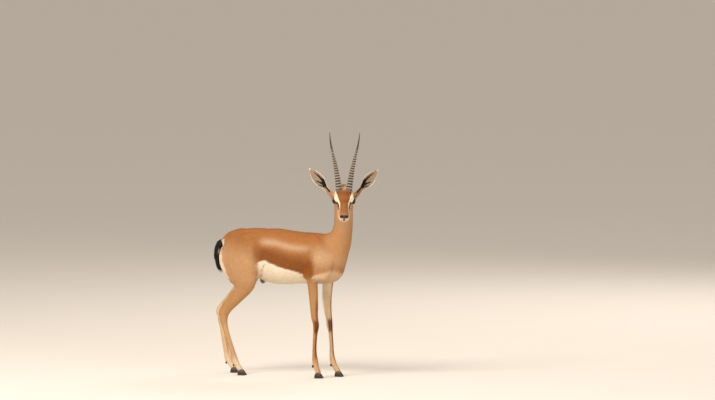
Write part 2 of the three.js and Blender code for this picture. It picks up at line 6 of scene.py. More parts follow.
import bmesh
import bpy
import numpy as np
from mathutils.kdtree import KDTree
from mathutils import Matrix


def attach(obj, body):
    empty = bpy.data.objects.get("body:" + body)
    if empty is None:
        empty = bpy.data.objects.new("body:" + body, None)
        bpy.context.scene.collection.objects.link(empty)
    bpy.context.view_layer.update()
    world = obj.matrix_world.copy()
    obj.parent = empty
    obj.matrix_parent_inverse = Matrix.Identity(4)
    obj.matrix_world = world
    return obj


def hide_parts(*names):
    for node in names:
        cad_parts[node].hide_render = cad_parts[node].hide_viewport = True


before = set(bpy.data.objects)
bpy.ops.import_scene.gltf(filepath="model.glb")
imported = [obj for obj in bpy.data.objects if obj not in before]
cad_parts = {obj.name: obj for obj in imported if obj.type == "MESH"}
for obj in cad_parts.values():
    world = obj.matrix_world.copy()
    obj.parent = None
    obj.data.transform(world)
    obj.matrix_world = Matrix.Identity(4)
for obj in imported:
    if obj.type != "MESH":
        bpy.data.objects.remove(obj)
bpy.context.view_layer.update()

# ---- measures, in millimetres: +X forward along the trunk, +Y to the animal's left,
# +Z up from the floor ----------------------------------------------------------------
ORIGIN = [44.1, -48.57]   # body-plan X, Y of the part's origin, below the middle of its box
HEAD_TURN = 24   # degrees: the face looks this far forward of square to the trunk
HEAD_ROLL = 1.2   # degrees: the crown leans this far to the head's left
HEAD_PITCH = 31   # degrees: the muzzle points this far down
EYES_AT = [321, -110, 751]   # midpoint between the eyes
EYE_AT = [3.5, 33.2, 1.2]   # eyeball centre in the head's frame
EYE_RADIUS = 14.6
EYE_OPENING = [13.2, 9, 8.6]   # half sizes of the opening between the lids
HORN_RINGS = 16
HORN_RINGED = 0.72   # share of the horn's length that is ringed
EAR_LENGTH = 164
EAR_THICK = 3
CLAW_SPLAY = 5   # degrees between each claw and the line of the foot
CLAW_SPACING = 7.1   # from the middle of the foot to the middle of a claw
# Tubes: stations of x, y, z, half width across, half depth.
TRUNK = [
  [-232, 0, 522, 43, 81],
  [-185, 0, 525, 53, 91],
  [-145, 0, 523, 61, 98],
  [-100, 0, 519, 69, 104],
  [-60, 0, 508.5, 76, 114.5],
  [-20, 0, 502.5, 80, 119.5],
  [30, 0, 500, 81, 116.5],
  [80, 0, 499, 79, 112],
  [130, 0, 498, 73, 111],
  [178, 0, 497, 63, 109],
  [216, 0, 496, 53, 98],
  [240, 0, 494, 45, 76],
]
NECK = [
  [190, 0, 468, 58, 72],
  [218, 0, 515, 55, 66],
  [249, 0, 560, 48, 59],
  [267, -1, 602, 42, 47],
  [276, -6, 642, 39.5, 43.5],
  [283, -19, 685, 40.5, 43],
  [288.5, -32, 725, 41, 42],
  [293, -43, 758, 40, 40],
  [297, -54, 782, 33, 33],
]
SACRUM = [
  [-190, 0, 590, 34, 24],
  [-235, 0, 574, 24, 20],
  [-270, 0, 560, 11, 10],
]
TAIL = [
  [-262, 0, 562, 11, 11],
  [-284, 0, 559, 10.5, 11],
  [-299, 0, 541, 11.5, 12],
  [-304, 0, 510, 12.5, 13.5],
  [-301, 0, 478, 12.5, 14],
  [-291, 0, 449, 10, 11.5],
  [-280, 0, 424, 4.5, 5.5],
]
SHOULDER = [
  [140, 34, 588, 14, 26],
  [163, 46, 548, 21, 42],
  [184, 52, 505, 25, 52],
  [194, 55, 468, 26, 55],
  [182, 58, 436, 25, 46],
]
FORE_NEAR = [
  [176, 50, 474, 11, 20],
  [167, 57, 436, 18, 35],
  [158.5, 60, 409, 19.5, 26.5],
  [161, 58, 367, 17.5, 22.8],
  [163, 56, 325, 15.8, 21],
  [165, 53, 262, 12.8, 16.8],
  [169.6, 50.5, 232, 13, 14.2],
  [170.8, 50, 214, 13, 13.6],
  [167.5, 49, 186, 9.6, 10.2],
  [164, 48, 141, 8.8, 9.4],
  [163, 47, 104, 9.2, 10],
  [164.5, 46, 80, 12, 12.4],
  [167, 46, 64, 12.8, 13],
  [172, 46, 44, 11.6, 11.4],
  [178, 46, 26, 12.8, 12.2],
]
FORE_FAR = [
  [184, 50, 474, 11, 20],
  [180, 57, 436, 18, 37],
  [180.5, 59, 409, 19.5, 28],
  [178.5, 58, 372, 17.5, 24.5],
  [177, 56, 322, 15.8, 22],
  [182.6, 54, 270, 12.8, 16.8],
  [189.4, 51.5, 232, 13, 14.2],
  [191.2, 51, 214, 13, 13.6],
  [196.2, 49.5, 182, 9.6, 10],
  [200.6, 48, 138, 8.8, 9.3],
  [202.2, 47, 102, 9.2, 10],
  [204.4, 47, 78, 12, 12.4],
  [208.5, 47, 62, 12.8, 13],
  [217.5, 47, 42, 11.6, 11.4],
  [228, 47, 25, 12.8, 12.2],
]
HIND_NEAR = [
  [-184, 42, 566, 28, 64],
  [-176, 50, 525, 35, 94],
  [-169.5, 57, 485, 36.5, 97.5],
  [-161, 61, 445, 34, 84],
  [-149.5, 63, 405, 28.5, 60.5],
  [-152, 62.5, 378, 24.5, 46],
  [-170, 60, 348, 20.5, 33],
  [-199, 56.5, 315, 17, 26],
  [-228, 53, 284, 14, 21.5],
  [-246, 50, 256, 13.4, 20],
  [-249, 49, 232, 12.6, 17.6],
  [-244, 48, 204, 10.4, 13.6],
  [-233.5, 47, 165, 9.4, 12.4],
  [-219, 46.5, 122, 9.4, 12.2],
  [-207.5, 46, 88, 10.4, 12.6],
  [-200.5, 46, 66, 12.8, 14.2],
  [-195, 46, 53, 13, 14],
  [-186, 46, 38, 11.8, 12],
  [-176, 46, 25, 12.8, 12.2],
]
HIND_FAR = [
  [-185, 42, 566, 28, 63],
  [-180, 50, 525, 35, 90],
  [-182, 57, 485, 36.5, 86],
  [-187, 61, 447, 34, 71],
  [-193, 63, 408, 28.5, 54],
  [-206, 62, 378, 24.5, 43],
  [-228, 60, 348, 20.5, 32],
  [-254, 56.5, 315, 17, 26],
  [-281, 53, 282, 14, 21.5],
  [-301, 50, 253, 13.4, 20],
  [-303, 49, 229, 12.6, 17.6],
  [-299.5, 48, 202, 10.4, 13.6],
  [-293.5, 47, 162, 9.2, 12],
  [-285.5, 46.5, 120, 9.2, 11.8],
  [-279, 46, 87, 10.4, 12.4],
  [-273.5, 46, 66, 12.8, 14.2],
  [-269, 46, 53, 13, 14],
  [-260, 46, 38, 11.8, 12],
  [-249, 46, 25, 12.8, 12.2],
]
# Tendon from the calf to the point of the hock.
HEEL_NEAR = [
  [-205, 58, 352, 7, 8],
  [-240, 54, 305, 7, 8],
  [-262, 50.5, 268, 8.5, 9.5],
  [-262, 49.5, 252, 8, 9],
]
HEEL_FAR = [
  [-250, 58, 350, 7, 8],
  [-292, 54, 303, 7, 8],
  [-318, 50.5, 266, 8.5, 9.5],
  [-317, 49.5, 250, 8, 9],
]
# x, y, z of the middle of each foot on the floor
FEET = {
  "foreleg_right": [180, -46],
  "foreleg_left": [233.5, 47],
  "hindleg_right": [-169, -46],
  "hindleg_left": [-242, 46],
}
FETLOCKS = {
  "foreleg_right": [156.5, -46, 50],
  "foreleg_left": [200.3, 47, 49],
  "hindleg_right": [-203.5, -46, 43],
  "hindleg_left": [-277.5, 46, 43],
}
# The head in its own frame: x to the nose, y to its left, z up.
FACE = [
  [-52, 0, 1, 31, 28.5],
  [-22, 0, 5, 34, 31],
  [2, 0, 3, 32.5, 28.5],
  [26, 0, -3.5, 27.5, 24],
  [50, 0, -10.5, 23.8, 20.5],
  [74, 0, -17, 21, 18],
  [91, 0, -20.5, 18.6, 15.5],
]
JAW = [
  [-36, 0, -31, 24, 22],
  [-10, 0, -34, 22.5, 20],
  [20, 0, -35, 21, 16],
  [50, 0, -36.5, 19.2, 12],
  [74, 0, -38.5, 17, 10],
  [86, 0, -40, 12, 8],
]
LIP = [
  [95, 12, -30, 7.2, 7.5],
  [80, 18, -29.5, 6.5, 8.5],
  [61, 21, -28.5, 6, 8.5],
  [40, 22.5, -26, 5.5, 7.5],
]
HORN_FOOT = [
  [-14, 15.5, 14, 13.5, 14.5],
  [-24.5, 18.5, 21.5, 13.5, 14.5],
]
HEAD_LUMPS = [
  # x, y, z, half sizes along x, y, z, blend: cranium, poll, cheek, orbit, lids,
  # brow, ear base, nose pad, nostril wing, upper lip, chin
  [-38, 0, 6.5, 43, 33, 28.5, 12],
  [-64, 0, 2, 20, 25, 22, 12],
  [-16, 20, -22, 31, 12, 24, 10],
  [-7, 28, 3, 18, 13.5, 16.5, 8],
  [3.5, 33.2, 1.2, 16.3, 16.0, 15.6, 4],
  [-3, 28, 17, 17, 10.5, 8, 7],
  [-50, 31, -2, 14, 12, 17, 8],
  [97, 0, -15.5, 10, 14.5, 9, 5],
  [99, 11.8, -16, 8.6, 7, 8, 4],
  [93, 0, -31, 12.5, 19, 9, 4],
  [86, 0, -42, 10.5, 13, 6.5, 4],
]
# Horn centre line in the level frame that faces forward with the head: out to the
# side, up, back, and the horn's diameter, from its foot on the head to its tip.
HORN = [
  [20, 36, 10, 27],
  [22.5, 52, 11.5, 26.5],
  [25.5, 76, 16, 24.8],
  [30, 105, 25, 22],
  [35.5, 135, 38.5, 18.8],
  [42, 165, 52.5, 15],
  [49.5, 196, 63, 11],
  [56, 225, 68, 7.6],
  [60.5, 254, 69, 4.6],
  [62.5, 279, 66, 2],
]
# Ear: root and direction out to the side, up and back, in the same level frame.
EAR_ROOT = [41, 7, 44]
EAR_DIR = [0.642, 0.724, 0.25]
EAR_T = [0, 0.12, 0.25, 0.33, 0.42, 0.55, 0.7, 0.85, 0.95, 1]
EAR_RADIUS = [11, 9.8, 9, 9.8, 16, 26, 29, 31, 32, 33]
EAR_HT = [0, 0.1, 0.2, 0.3, 0.36, 0.42, 0.47, 0.52, 0.6, 0.7, 0.79, 0.87, 0.93, 0.975, 1]
EAR_HALF = [9, 8.8, 8.6, 8.8, 10, 13, 17, 20.4, 22.6, 21.8, 18.8, 14.2, 9.2, 4.8, 1.4]
EAR_WRAP_T = [0, 0.16, 0.28, 0.38]
EAR_WRAP = [1, 0.8, 0.35, 0]
# Claw sections from heel to toe: along the foot, half width, height.
CLAW = [
  [-15, 3.6, 11.5],
  [-11, 5.4, 19.5],
  [-3.5, 6.5, 27],
  [4.5, 6.2, 23],
  [12, 4.9, 14],
  [18.5, 2.2, 4.5],
]

# Pieces that only the surface shows, in the same measures as above.
DOCK = [[-258, 0, 563, 10, 10], [-280, 0, 560, 8, 8], [-296, 0, 545, 7, 7], [-302, 0, 515, 6, 6], [-301, 0, 484, 4.5, 4.5]]
THROAT = [[-50, 0, -32, 24, 22], [-64, 0, -58, 28, 24]]
EYELINE = (0.31, 0.949, 0.06)  # the way each eye looks, in the head's frame
NOSTRIL = [[105, 7, -19.5, 2.4, 2.6], [102.5, 13.5, -14, 3.0, 2.6], [98, 18.5, -10.5, 1.6, 1.6]]
MOUTH = [[107, 0, -36.5, 1.3, 1.1], [99, 12, -36.5, 1.4, 1.2], [84, 19.5, -36.5, 1.4, 1.2], [66, 23.5, -35, 1.2, 1.0]]
PHILTRUM = [[109.5, 0, -24, 0.9, 0.9], [107, 0, -36, 0.9, 0.9]]
TEARPIT = [[25, 27.5, -6.5, 1.8, 2.2], [37, 24.5, -11.5, 1.4, 1.6]]
FAR = 1e3
f32 = np.float32


def unit(v):
    v = np.asarray(v, float)
    return v / np.sqrt((v * v).sum(-1, keepdims=True))


def step(x, a, b):
    """0 at a, 1 at b, smooth between."""
    t = np.clip((x - a) / (b - a), 0, 1)
    return t * t * (3 - 2 * t)


def dense(st, n):
    """Catmull-Rom refinement of a list of stations."""
    st = np.asarray(st, float)
    e = np.vstack([2 * st[0] - st[1], st, 2 * st[-1] - st[-2]])
    out = []
    for i in range(len(st) - 1):
        p0, p1, p2, p3 = e[i : i + 4]
        for j in range(n):
            t = j / n
            out.append(0.5 * (2 * p1 + (p2 - p0) * t + (2 * p0 - 5 * p1 + 4 * p2 - p3) * t**2 + (3 * p1 - p0 - 3 * p2 + p3) * t**3))
    out.append(st[-1])
    return np.array(out)


def mirrored(st):
    st = np.array(st, float)
    st[:, 1] *= -1
    return st


# The head's frame, as rows.
TURN, PITCH, ROLL = math.radians(HEAD_TURN), math.radians(HEAD_PITCH), math.radians(HEAD_ROLL)
E = np.array(EYES_AT, float)
FACING = np.array([math.sin(TURN), -math.cos(TURN), 0])
UP = np.array([0, 0, 1]) * math.cos(ROLL) + np.cross([0, 0, 1], FACING) * math.sin(ROLL)
HEAD_LEFT = np.cross(UP, FACING)
HEAD = np.array([FACING * math.cos(PITCH) - UP * math.sin(PITCH), HEAD_LEFT, FACING * math.sin(PITCH) + UP * math.cos(PITCH)])
LEVEL = np.array([HEAD_LEFT, UP, -FACING])  # rows: out to the left, up, back


def level(side, out, up, back):
    return E + HEAD_LEFT * out * side + UP * up - FACING * back


class Cloud:
    """Points sorted into small cells, so that what is far from them is passed over."""

    def __init__(self, P, cell=24.0, inv=None, C=None, R=None):
        self.P = np.asarray(P, f32)
        if inv is None:
            k = np.floor(self.P / cell).astype(np.int64)
            k0 = k.min(0)
            k -= k0
            n = k.max(0) + 1
            u, inv = np.unique((k[:, 0] * n[1] + k[:, 1]) * n[2] + k[:, 2], return_inverse=True)
            inv = inv.reshape(-1)
            C = (np.stack([u // (n[1] * n[2]), u // n[2] % n[1], u % n[2]], 1) + k0 + 0.5) * cell
            R = cell * 0.87
        self.inv, self.C, self.R = inv, C, R

    def near(self, A, B, m):
        """The indices of the points whose cell is within m of the line from A to B."""
        D, d = B - A, self.C - A
        t = np.clip(d @ D / (D @ D + 1e-9), 0, 1)
        ok = ((d - t[:, None] * D) ** 2).sum(1) < (m + self.R) ** 2
        return np.flatnonzero(ok[self.inv]) if ok.any() else np.zeros(0, np.int64)

    def part(self, idx, turn=None):
        """Some of the points, turned into the head's frame if asked."""
        P, C = self.P[idx], self.C
        if turn is not None:
            P, C = (P - turn[0].astype(f32)) @ turn[1].T.astype(f32), (C - turn[0]) @ turn[1].T
            P = P.copy()
            C = C.copy()
            P[:, 1], C[:, 1] = np.abs(P[:, 1]), np.abs(C[:, 1])
        return Cloud(P, inv=self.inv[idx], C=C, R=self.R)


def ellipse(x, y, z, a, b, c):
    x, y, z = x / a, y / b, z / c
    k0 = np.sqrt(x * x + y * y + z * z) + 1e-6
    x, y, z = x / a, y / b, z / c
    return k0 * (k0 - 1) / (np.sqrt(x * x + y * y + z * z) + 1e-6)


def segments(st, across):
    across = np.broadcast_to(np.asarray(across, float), (len(st), 3))
    out = []
    for i in range(len(st) - 1):
        A, B = st[i], st[i + 1]
        D = B[:3] - A[:3]
        ax = unit(D)
        l = unit(across[i] - ax * (across[i] @ ax))
        out.append((A, B, D, np.stack([l, np.cross(ax, l), ax], 1).astype(f32), D @ D))
    return out


def tube(c, segs, reach):
    best = np.full(len(c.P), FAR, f32)
    for A, B, D, axes, L2 in segs:
        idx = c.near(A[:3], B[:3], max(A[3], A[4], B[3], B[4]) + reach)
        if not len(idx):
            continue
        d = c.P[idx] - A[:3].astype(f32)
        t = np.clip(d @ (D / L2).astype(f32), 0, 1)
        a, b = A[3] + (B[3] - A[3]) * t, A[4] + (B[4] - A[4]) * t
        q = (d - t[:, None] * D.astype(f32)) @ axes
        v = ellipse(q[:, 0], q[:, 1], q[:, 2], a, b, np.minimum(a, b))
        best[idx] = np.minimum(best[idx], v)
    return best


def lump(c, at, r, reach):
    out = np.full(len(c.P), FAR, f32)
    at = np.asarray(at, float)
    idx = c.near(at, at, max(r) + reach)
    if len(idx):
        d = c.P[idx] - at.astype(f32)
        out[idx] = ellipse(d[:, 0], d[:, 1], d[:, 2], *r)
    return out


def smin(a, b, k):
    h = np.maximum(k - np.abs(a - b), 0) / k
    return np.minimum(a, b) - h * h * k * 0.25


def smax(a, b, k):
    return -smin(-a, -b, k)


LATERAL = (0, 1, 0)
_n = dense(NECK, 4)
_w = step(_n[:, 2], 600, 770)[:, None]
TUBES = {
    "trunk": segments(dense(TRUNK, 5), LATERAL),
    "sacrum": segments(dense(SACRUM, 3), LATERAL),
    "shoulder_right": segments(mirrored(dense(SHOULDER, 4)), LATERAL),
    "shoulder_left": segments(dense(SHOULDER, 4), LATERAL),
    "neck": segments(_n, np.array(LATERAL) * (1 - _w) + HEAD_LEFT * _w),
    "dock": segments(dense(DOCK, 3), LATERAL),
    "foreleg_right": segments(mirrored(dense(FORE_NEAR, 4)), LATERAL),
    "foreleg_left": segments(dense(FORE_FAR, 4), LATERAL),
    "hindleg_right": segments(mirrored(dense(HIND_NEAR, 3)), LATERAL),
    "hindleg_left": segments(dense(HIND_FAR, 3), LATERAL),
    "heel_right": segments(mirrored(dense(HEEL_NEAR, 3)), LATERAL),
    "heel_left": segments(dense(HEEL_FAR, 3), LATERAL),
    "face": segments(dense(FACE, 4), LATERAL),
    "jaw": segments(dense(JAW, 4), LATERAL),
    "lip": segments(dense(LIP, 3), LATERAL),
    "horn_foot": segments(np.array(HORN_FOOT, float), LATERAL),
    "throat": segments(np.array(THROAT, float), LATERAL),
    "nostril": segments(dense(NOSTRIL, 3), LATERAL),
    "mouth": segments(dense(MOUTH, 3), LATERAL),
    "philtrum": segments(np.array(PHILTRUM, float), LATERAL),
    "tearpit": segments(np.array(TEARPIT, float), LATERAL),
}


def off_line(q, line):
    """How far each point is from a line of points, and how far along it the nearest lies, from 0 to 1."""
    best, at = np.full(len(q), 1e9), np.zeros(len(q))
    for i in range(len(line) - 1):
        D = line[i + 1] - line[i]
        t = np.clip((q - line[i]) @ D / (D @ D + 1e-9), 0, 1)
        d = np.sqrt(((q - line[i] - t[:, None] * D) ** 2).sum(1))
        m = d < best
        best[m], at[m] = d[m], (i + t[m]) / (len(line) - 1)
    return best, at


LEG_NAMES = ["foreleg_right", "foreleg_left", "hindleg_right", "hindleg_left"]
# How far the skin lies inside the outline: the depth of the coat.
COAT = {"trunk": 4.0, "neck": 3.6, "head": 1.3, "ear": 0.35, "dock": 1.0}


def leg_coat(z):
    return np.interp(z, [0, 70, 240, 400, 470], [1.2, 1.2, 1.7, 3.0, 4.0]).astype(f32)


def trunk_field(c):
    f = smin(tube(c, TUBES["trunk"], 44), tube(c, TUBES["sacrum"], 40), 20)
    for n in ("shoulder_right", "shoulder_left"):
        f = smin(f, tube(c, TUBES[n], 40), 16)
    f = smin(f, lump(c, (20, 0, 470), (115, 84, 74), 44), 20)  # ribs
    for y in (-47, 47):
        f = smin(f, lump(c, (-124, y, 580), (34, 17, 20), 30), 18)  # hip
    f = smin(f, lump(c, (-90, 0, 400), (15, 12, 18), 30), 12)  # groin
    return smin(f, lump(c, (230, 0, 448), (39, 38, 42), 40), 18)  # brisket


def leg_field(c, name):
    f = tube(c, TUBES[name], 26)
    if name.startswith("hind"):
        return smin(f, tube(c, TUBES["heel" + name[7:]], 14), 7)
    s, x = (-1, 130) if name.endswith("right") else (1, 144)
    return smin(f, lump(c, (x, s * 58, 434), (15, 14, 22), 20), 14)  # elbow


def head_field(c):
    """In the head's own frame, with y taken without its sign."""
    f = smin(tube(c, TUBES["face"], 24), tube(c, TUBES["jaw"], 24), 12)
    f = smin(f, tube(c, TUBES["lip"], 12), 5)
    f = smin(f, tube(c, TUBES["horn_foot"], 16), 8)
    for x, y, z, a, b, d, k in HEAD_LUMPS:
        f = smin(f, lump(c, (x, y, z), (a, b, d), 22), k)
    return f


_o = unit(EYELINE)
_u = unit(np.array([0.95, -0.25, -0.2]) - _o * (np.array([0.95, -0.25, -0.2]) @ _o))
EYE_AXES = np.stack([_u, np.cross(_o, _u), _o], 1).astype(f32)  # along the lids, across them, outwards
if EYE_AXES[2, 1] < 0:
    EYE_AXES[:, 1] *= -1
ALMOND = (12.8, 8.2)


def almond(q):
    """Field of the opening between the lids, in the eye's own axes: two arcs that meet at the corners."""
    L, H = ALMOND
    Rc = (L * L + H * H) / (2 * H)
    return np.maximum(np.hypot(q[:, 0], q[:, 1] + Rc - H), np.hypot(q[:, 0], q[:, 1] - Rc + H)) - Rc


def carve_face(c, f):
    """Lids, nostrils, mouth and the slits before the eyes."""
    idx = c.near(np.array(EYE_AT), np.array(EYE_AT), 26)
    if len(idx):
        q = (c.P[idx] - np.array(EYE_AT, f32)) @ EYE_AXES
        r, al, g = np.sqrt((q * q).sum(1)), almond(q), f[idx]
        front = q[:, 2] > 2
        rim = np.hypot(al - 1.0, r - 15.0) - 1.35
        g = np.where(front, smin(g, rim, 1.6), g)
        crease = np.hypot(al - 4.6, r - 16.2) - 0.8
        g = np.where(front & (q[:, 1] > 0), smax(g, -crease, 1.2), g)
        open_ = al - 0.55 * np.maximum(r - 16.4, 0)  # the opening widens outwards
        g = np.where(front, smax(g, -np.maximum(open_, 13.3 - r), 0.7), g)
        f[idx] = g
    for name, k in (("nostril", 1.6), ("mouth", 1.2), ("philtrum", 1.0), ("tearpit", 1.4)):
        f = smax(f, -tube(c, TUBES[name], 6), k)
    return f


def ear_axes(side):
    lat = HEAD_LEFT * side
    s = unit(lat * EAR_DIR[0] + UP * EAR_DIR[1] - FACING * EAR_DIR[2])
    n = unit(FACING - s * (FACING @ s)) + 0.12 * lat
    n = unit(n - s * (n @ s))
    w = np.cross(s, n)
    return level(side, *EAR_ROOT), s, (-w if w[2] > 0 else w), n


EARS = {s: ear_axes(s) for s in (-1, 1)}


def ear_shape(t):
    R = np.interp(t, EAR_T, EAR_RADIUS)
    wrap = np.interp(t, EAR_WRAP_T, EAR_WRAP)
    half = np.arcsin(np.clip(np.interp(t, EAR_HT, EAR_HALF) / R, 0, 0.97)) * (1 - wrap) + 2.75 * wrap
    return R, half, 9 * (2 * t - 1) ** 2 - 9


def ear_place(side, t, phi, r=0.0):
    """A point of the ear: along it, round its cup, and off its middle surface outwards."""
    root, s, w, n = EARS[side]
    R, half, bow = ear_shape(t)
    r = R + r
    return root + s * (t * EAR_LENGTH)[..., None] + w * (r * np.sin(phi))[..., None] + n * (bow + R - 13 - r * np.cos(phi))[..., None]


def ear_coords(P, side):
    """How far along, round and off the middle of the ear's shell each point lies."""
    root, s, w, n = EARS[side]
    d = P - root
    t = np.clip(d @ s / EAR_LENGTH, 0, 1)
    R, half, bow = ear_shape(t)
    y, z = d @ w, bow + R - 13 - d @ n
    return t, np.arctan2(y, z), np.hypot(y, z) - R, R, half


def ear_lie(P, side):
    """Along the ear at a steady share of its width, so that the hair meets at the tip."""
    t, phi, off, R, half = ear_coords(P, side)
    k = np.clip(phi / half, -1, 1)
    a, b = np.clip(t, 0.0, 0.96), np.clip(t, 0.0, 0.96) + 0.03
    return unit(ear_place(side, b, k * ear_shape(b)[1]) - ear_place(side, a, k * ear_shape(a)[1]))


def ear_field(c, side):
    out = np.full(len(c.P), FAR, f32)
    root, s, w, n = EARS[side]
    idx = c.near(root, root + s * EAR_LENGTH, 44)
    if not len(idx):
        return out
    P = c.P[idx].astype(float)
    t, phi, off, R, half = ear_coords(P, side)
    h = EAR_THICK / 2
    inner = h + 8 * np.clip(1 - t / 0.3, 0, 1) ** 2
    S = (P - root) @ s
    f = smax(np.maximum(off - h, -off - inner), (np.abs(phi) - half) * R, 1.2)
    f = smax(f, np.maximum(-S - 6, S - EAR_LENGTH * 1.012), 1.2)
    out[idx] = f
    return out


def parts_at(c):
    """The field of every part of the skin."""
    f = {"trunk": trunk_field(c) + COAT["trunk"]}
    z = c.P[:, 2]
    f["neck"] = tube(c, TUBES["neck"], 40) + (COAT["neck"] - 1.4 * step(z, 640, 760)).astype(f32)
    for n in LEG_NAMES:
        f[n] = leg_field(c, n) + leg_coat(z)
    f["tail"] = tube(c, TUBES["dock"], 20) + COAT["dock"]
    f["head"] = np.full(len(c.P), FAR, f32)
    mid = E + HEAD[0] * 15 - HEAD[2] * 15
    idx = c.near(mid, mid, 125)
    if len(idx):
        h = c.part(idx, (E, HEAD))
        f["head"][idx] = smin(head_field(h), tube(h, TUBES["throat"], 20) + 1.2, 14) + COAT["head"]
        f["in_head"] = (idx, h)
    for s, n in ((1, "ear_left"), (-1, "ear_right")):
        f[n] = ear_field(c, s) + COAT["ear"]
    return f


def skin_field(c, parts=None):
    p = parts or parts_at(c)
    f = smin(p["trunk"], p["neck"], 28)
    f = smin(f, p["head"], 15)
    for n in LEG_NAMES:
        f = smin(f, p[n], 20 if n.startswith("hind") else 14)
    f = smin(f, p["tail"], 10)
    for n in ("ear_left", "ear_right"):
        f = smin(f, p[n], 5)
    if "in_head" in p:
        idx, h = p["in_head"]
        f[idx] = carve_face(h, f[idx].copy())
    return f


def field_grid(lo, hi, h, block=8):
    """The skin's field on a grid, worked out only near the surface."""
    lo = np.array(lo, float)
    n = (np.ceil((np.array(hi) - lo) / h / block).astype(int)) * block + 1
    nb = (n - 1) // block
    bi = np.stack(np.meshgrid(*[np.arange(k) for k in nb], indexing="ij"), -1).reshape(-1, 3)
    C = lo + (bi + 0.5) * block * h
    fc = skin_field(Cloud(C, cell=block * h * 2))
    near = np.abs(fc) < block * h * 0.87 * 1.5 + 4
    F = np.repeat(np.repeat(np.repeat(np.where(fc < 0, -FAR, FAR).reshape(nb).astype(f32), block, 0), block, 1), block, 2)
    F = np.pad(F, ((0, 1), (0, 1), (0, 1)), mode="edge")
    o = np.stack(np.meshgrid(*[np.arange(block + 1)] * 3, indexing="ij"), -1).reshape(-1, 3)
    sel = bi[near]
    ids = (sel[:, None, :] * block + o[None]).reshape(-1, 3)
    c = Cloud(lo + ids * h, inv=np.repeat(np.arange(len(sel)), len(o)), C=C[near], R=block * h * 0.87)
    F[tuple(ids.T)] = skin_field(c)
    return F, lo


def surface_nets(F, origin, h):
    """Vertices and outward quads of the zero level of F on a grid."""
    nx, ny, nz = F.shape
    S = F < 0
    cnt = np.zeros((nx - 1, ny - 1, nz - 1), np.int8)
    corners = [(i, j, k) for i in (0, 1) for j in (0, 1) for k in (0, 1)]
    for i, j, k in corners:
        cnt += S[i : nx - 1 + i, j : ny - 1 + j, k : nz - 1 + k]
    active = (cnt > 0) & (cnt < 8)
    idx = -np.ones(active.shape, np.int64)
    ijk = np.argwhere(active)
    idx[active] = np.arange(len(ijk))
    pos, num = np.zeros((len(ijk), 3)), np.zeros(len(ijk))
    for a in corners:
        for q in range(3):
            if a[q]:
                continue
            b = list(a)
            b[q] = 1
            fa = F[ijk[:, 0] + a[0], ijk[:, 1] + a[1], ijk[:, 2] + a[2]]
            fb = F[ijk[:, 0] + b[0], ijk[:, 1] + b[1], ijk[:, 2] + b[2]]
            m = (fa < 0) != (fb < 0)
            t = fa[m] / (fa[m] - fb[m])
            pos[m] += np.array(a) + t[:, None] * (np.array(b) - np.array(a))
            num[m] += 1
    V = (ijk + pos / num[:, None]) * h + origin
    quads = []
    for ax in range(3):
        s0, s1 = [slice(1, -1)] * 3, [slice(1, -1)] * 3
        s0[ax], s1[ax] = slice(0, -1), slice(1, None)
        A, B = S[tuple(s0)], S[tuple(s1)]
        e = np.argwhere(A != B)
        base = e.copy()
        u, v = [q for q in range(3) if q != ax]
        base[:, u] += 1
        base[:, v] += 1
        inside = A[tuple(e.T)]

        def cell(du, dv):
            c = base.copy()
            c[:, u] -= du
            c[:, v] -= dv
            return idx[tuple(c.T)]

        q = np.stack([cell(0, 0), cell(1, 0), cell(1, 1), cell(0, 1)], 1)
        flip = inside if ax != 1 else ~inside
        quads.append(np.where(flip[:, None], q, q[:, ::-1]))
    return V, np.vstack(quads)


def edges_of(Q):
    e = np.vstack([Q[:, [i, (i + 1) % Q.shape[1]]] for i in range(Q.shape[1])])
    return np.unique(np.sort(e, 1), axis=0)


def relax(V, Q, times, w=0.5):
    """Evens the mesh out."""
    e = edges_of(Q)
    deg = np.bincount(e.ravel(), minlength=len(V)).astype(float)[:, None]
    for _ in range(times):
        s = np.zeros_like(V)
        for k in range(3):
            s[:, k] = np.bincount(e[:, 0], V[e[:, 1], k], len(V)) + np.bincount(e[:, 1], V[e[:, 0], k], len(V))
        V = V + w * (s / np.maximum(deg, 1) - V)
    return V


def gradient(fn, V, d=0.5):
    g = np.stack([fn(V + np.eye(3)[k] * d) - fn(V - np.eye(3)[k] * d) for k in range(3)], 1) / (2 * d)
    return g


def onto_skin(V, times=2, most=1.2, d=0.6):
    """Moves points onto the zero level of the skin's field."""
    fn = lambda P: skin_field(Cloud(P)).astype(float)
    for _ in range(times):
        f, g = fn(V), gradient(fn, V, d)
        g2 = np.maximum((g * g).sum(1), 0.2)
        s = np.clip(f / np.sqrt(g2), -most, most)
        V = V - g * (s / np.sqrt(g2))[:, None]
    return V


def face_normals(V, Q):
    n = np.cross(V[Q[:, 2]] - V[Q[:, 0]], V[Q[:, 3 if Q.shape[1] == 4 else 1]] - V[Q[:, 1 if Q.shape[1] == 4 else 0]])
    return n if Q.shape[1] == 4 else -n


def normals_of(V, Q):
    n = face_normals(V, Q)
    out = np.zeros_like(V)
    for i in range(Q.shape[1]):
        for k in range(3):
            out[:, k] += np.bincount(Q[:, i], n[:, k], len(V))
    return out / (np.sqrt((out * out).sum(1, keepdims=True)) + 1e-12)


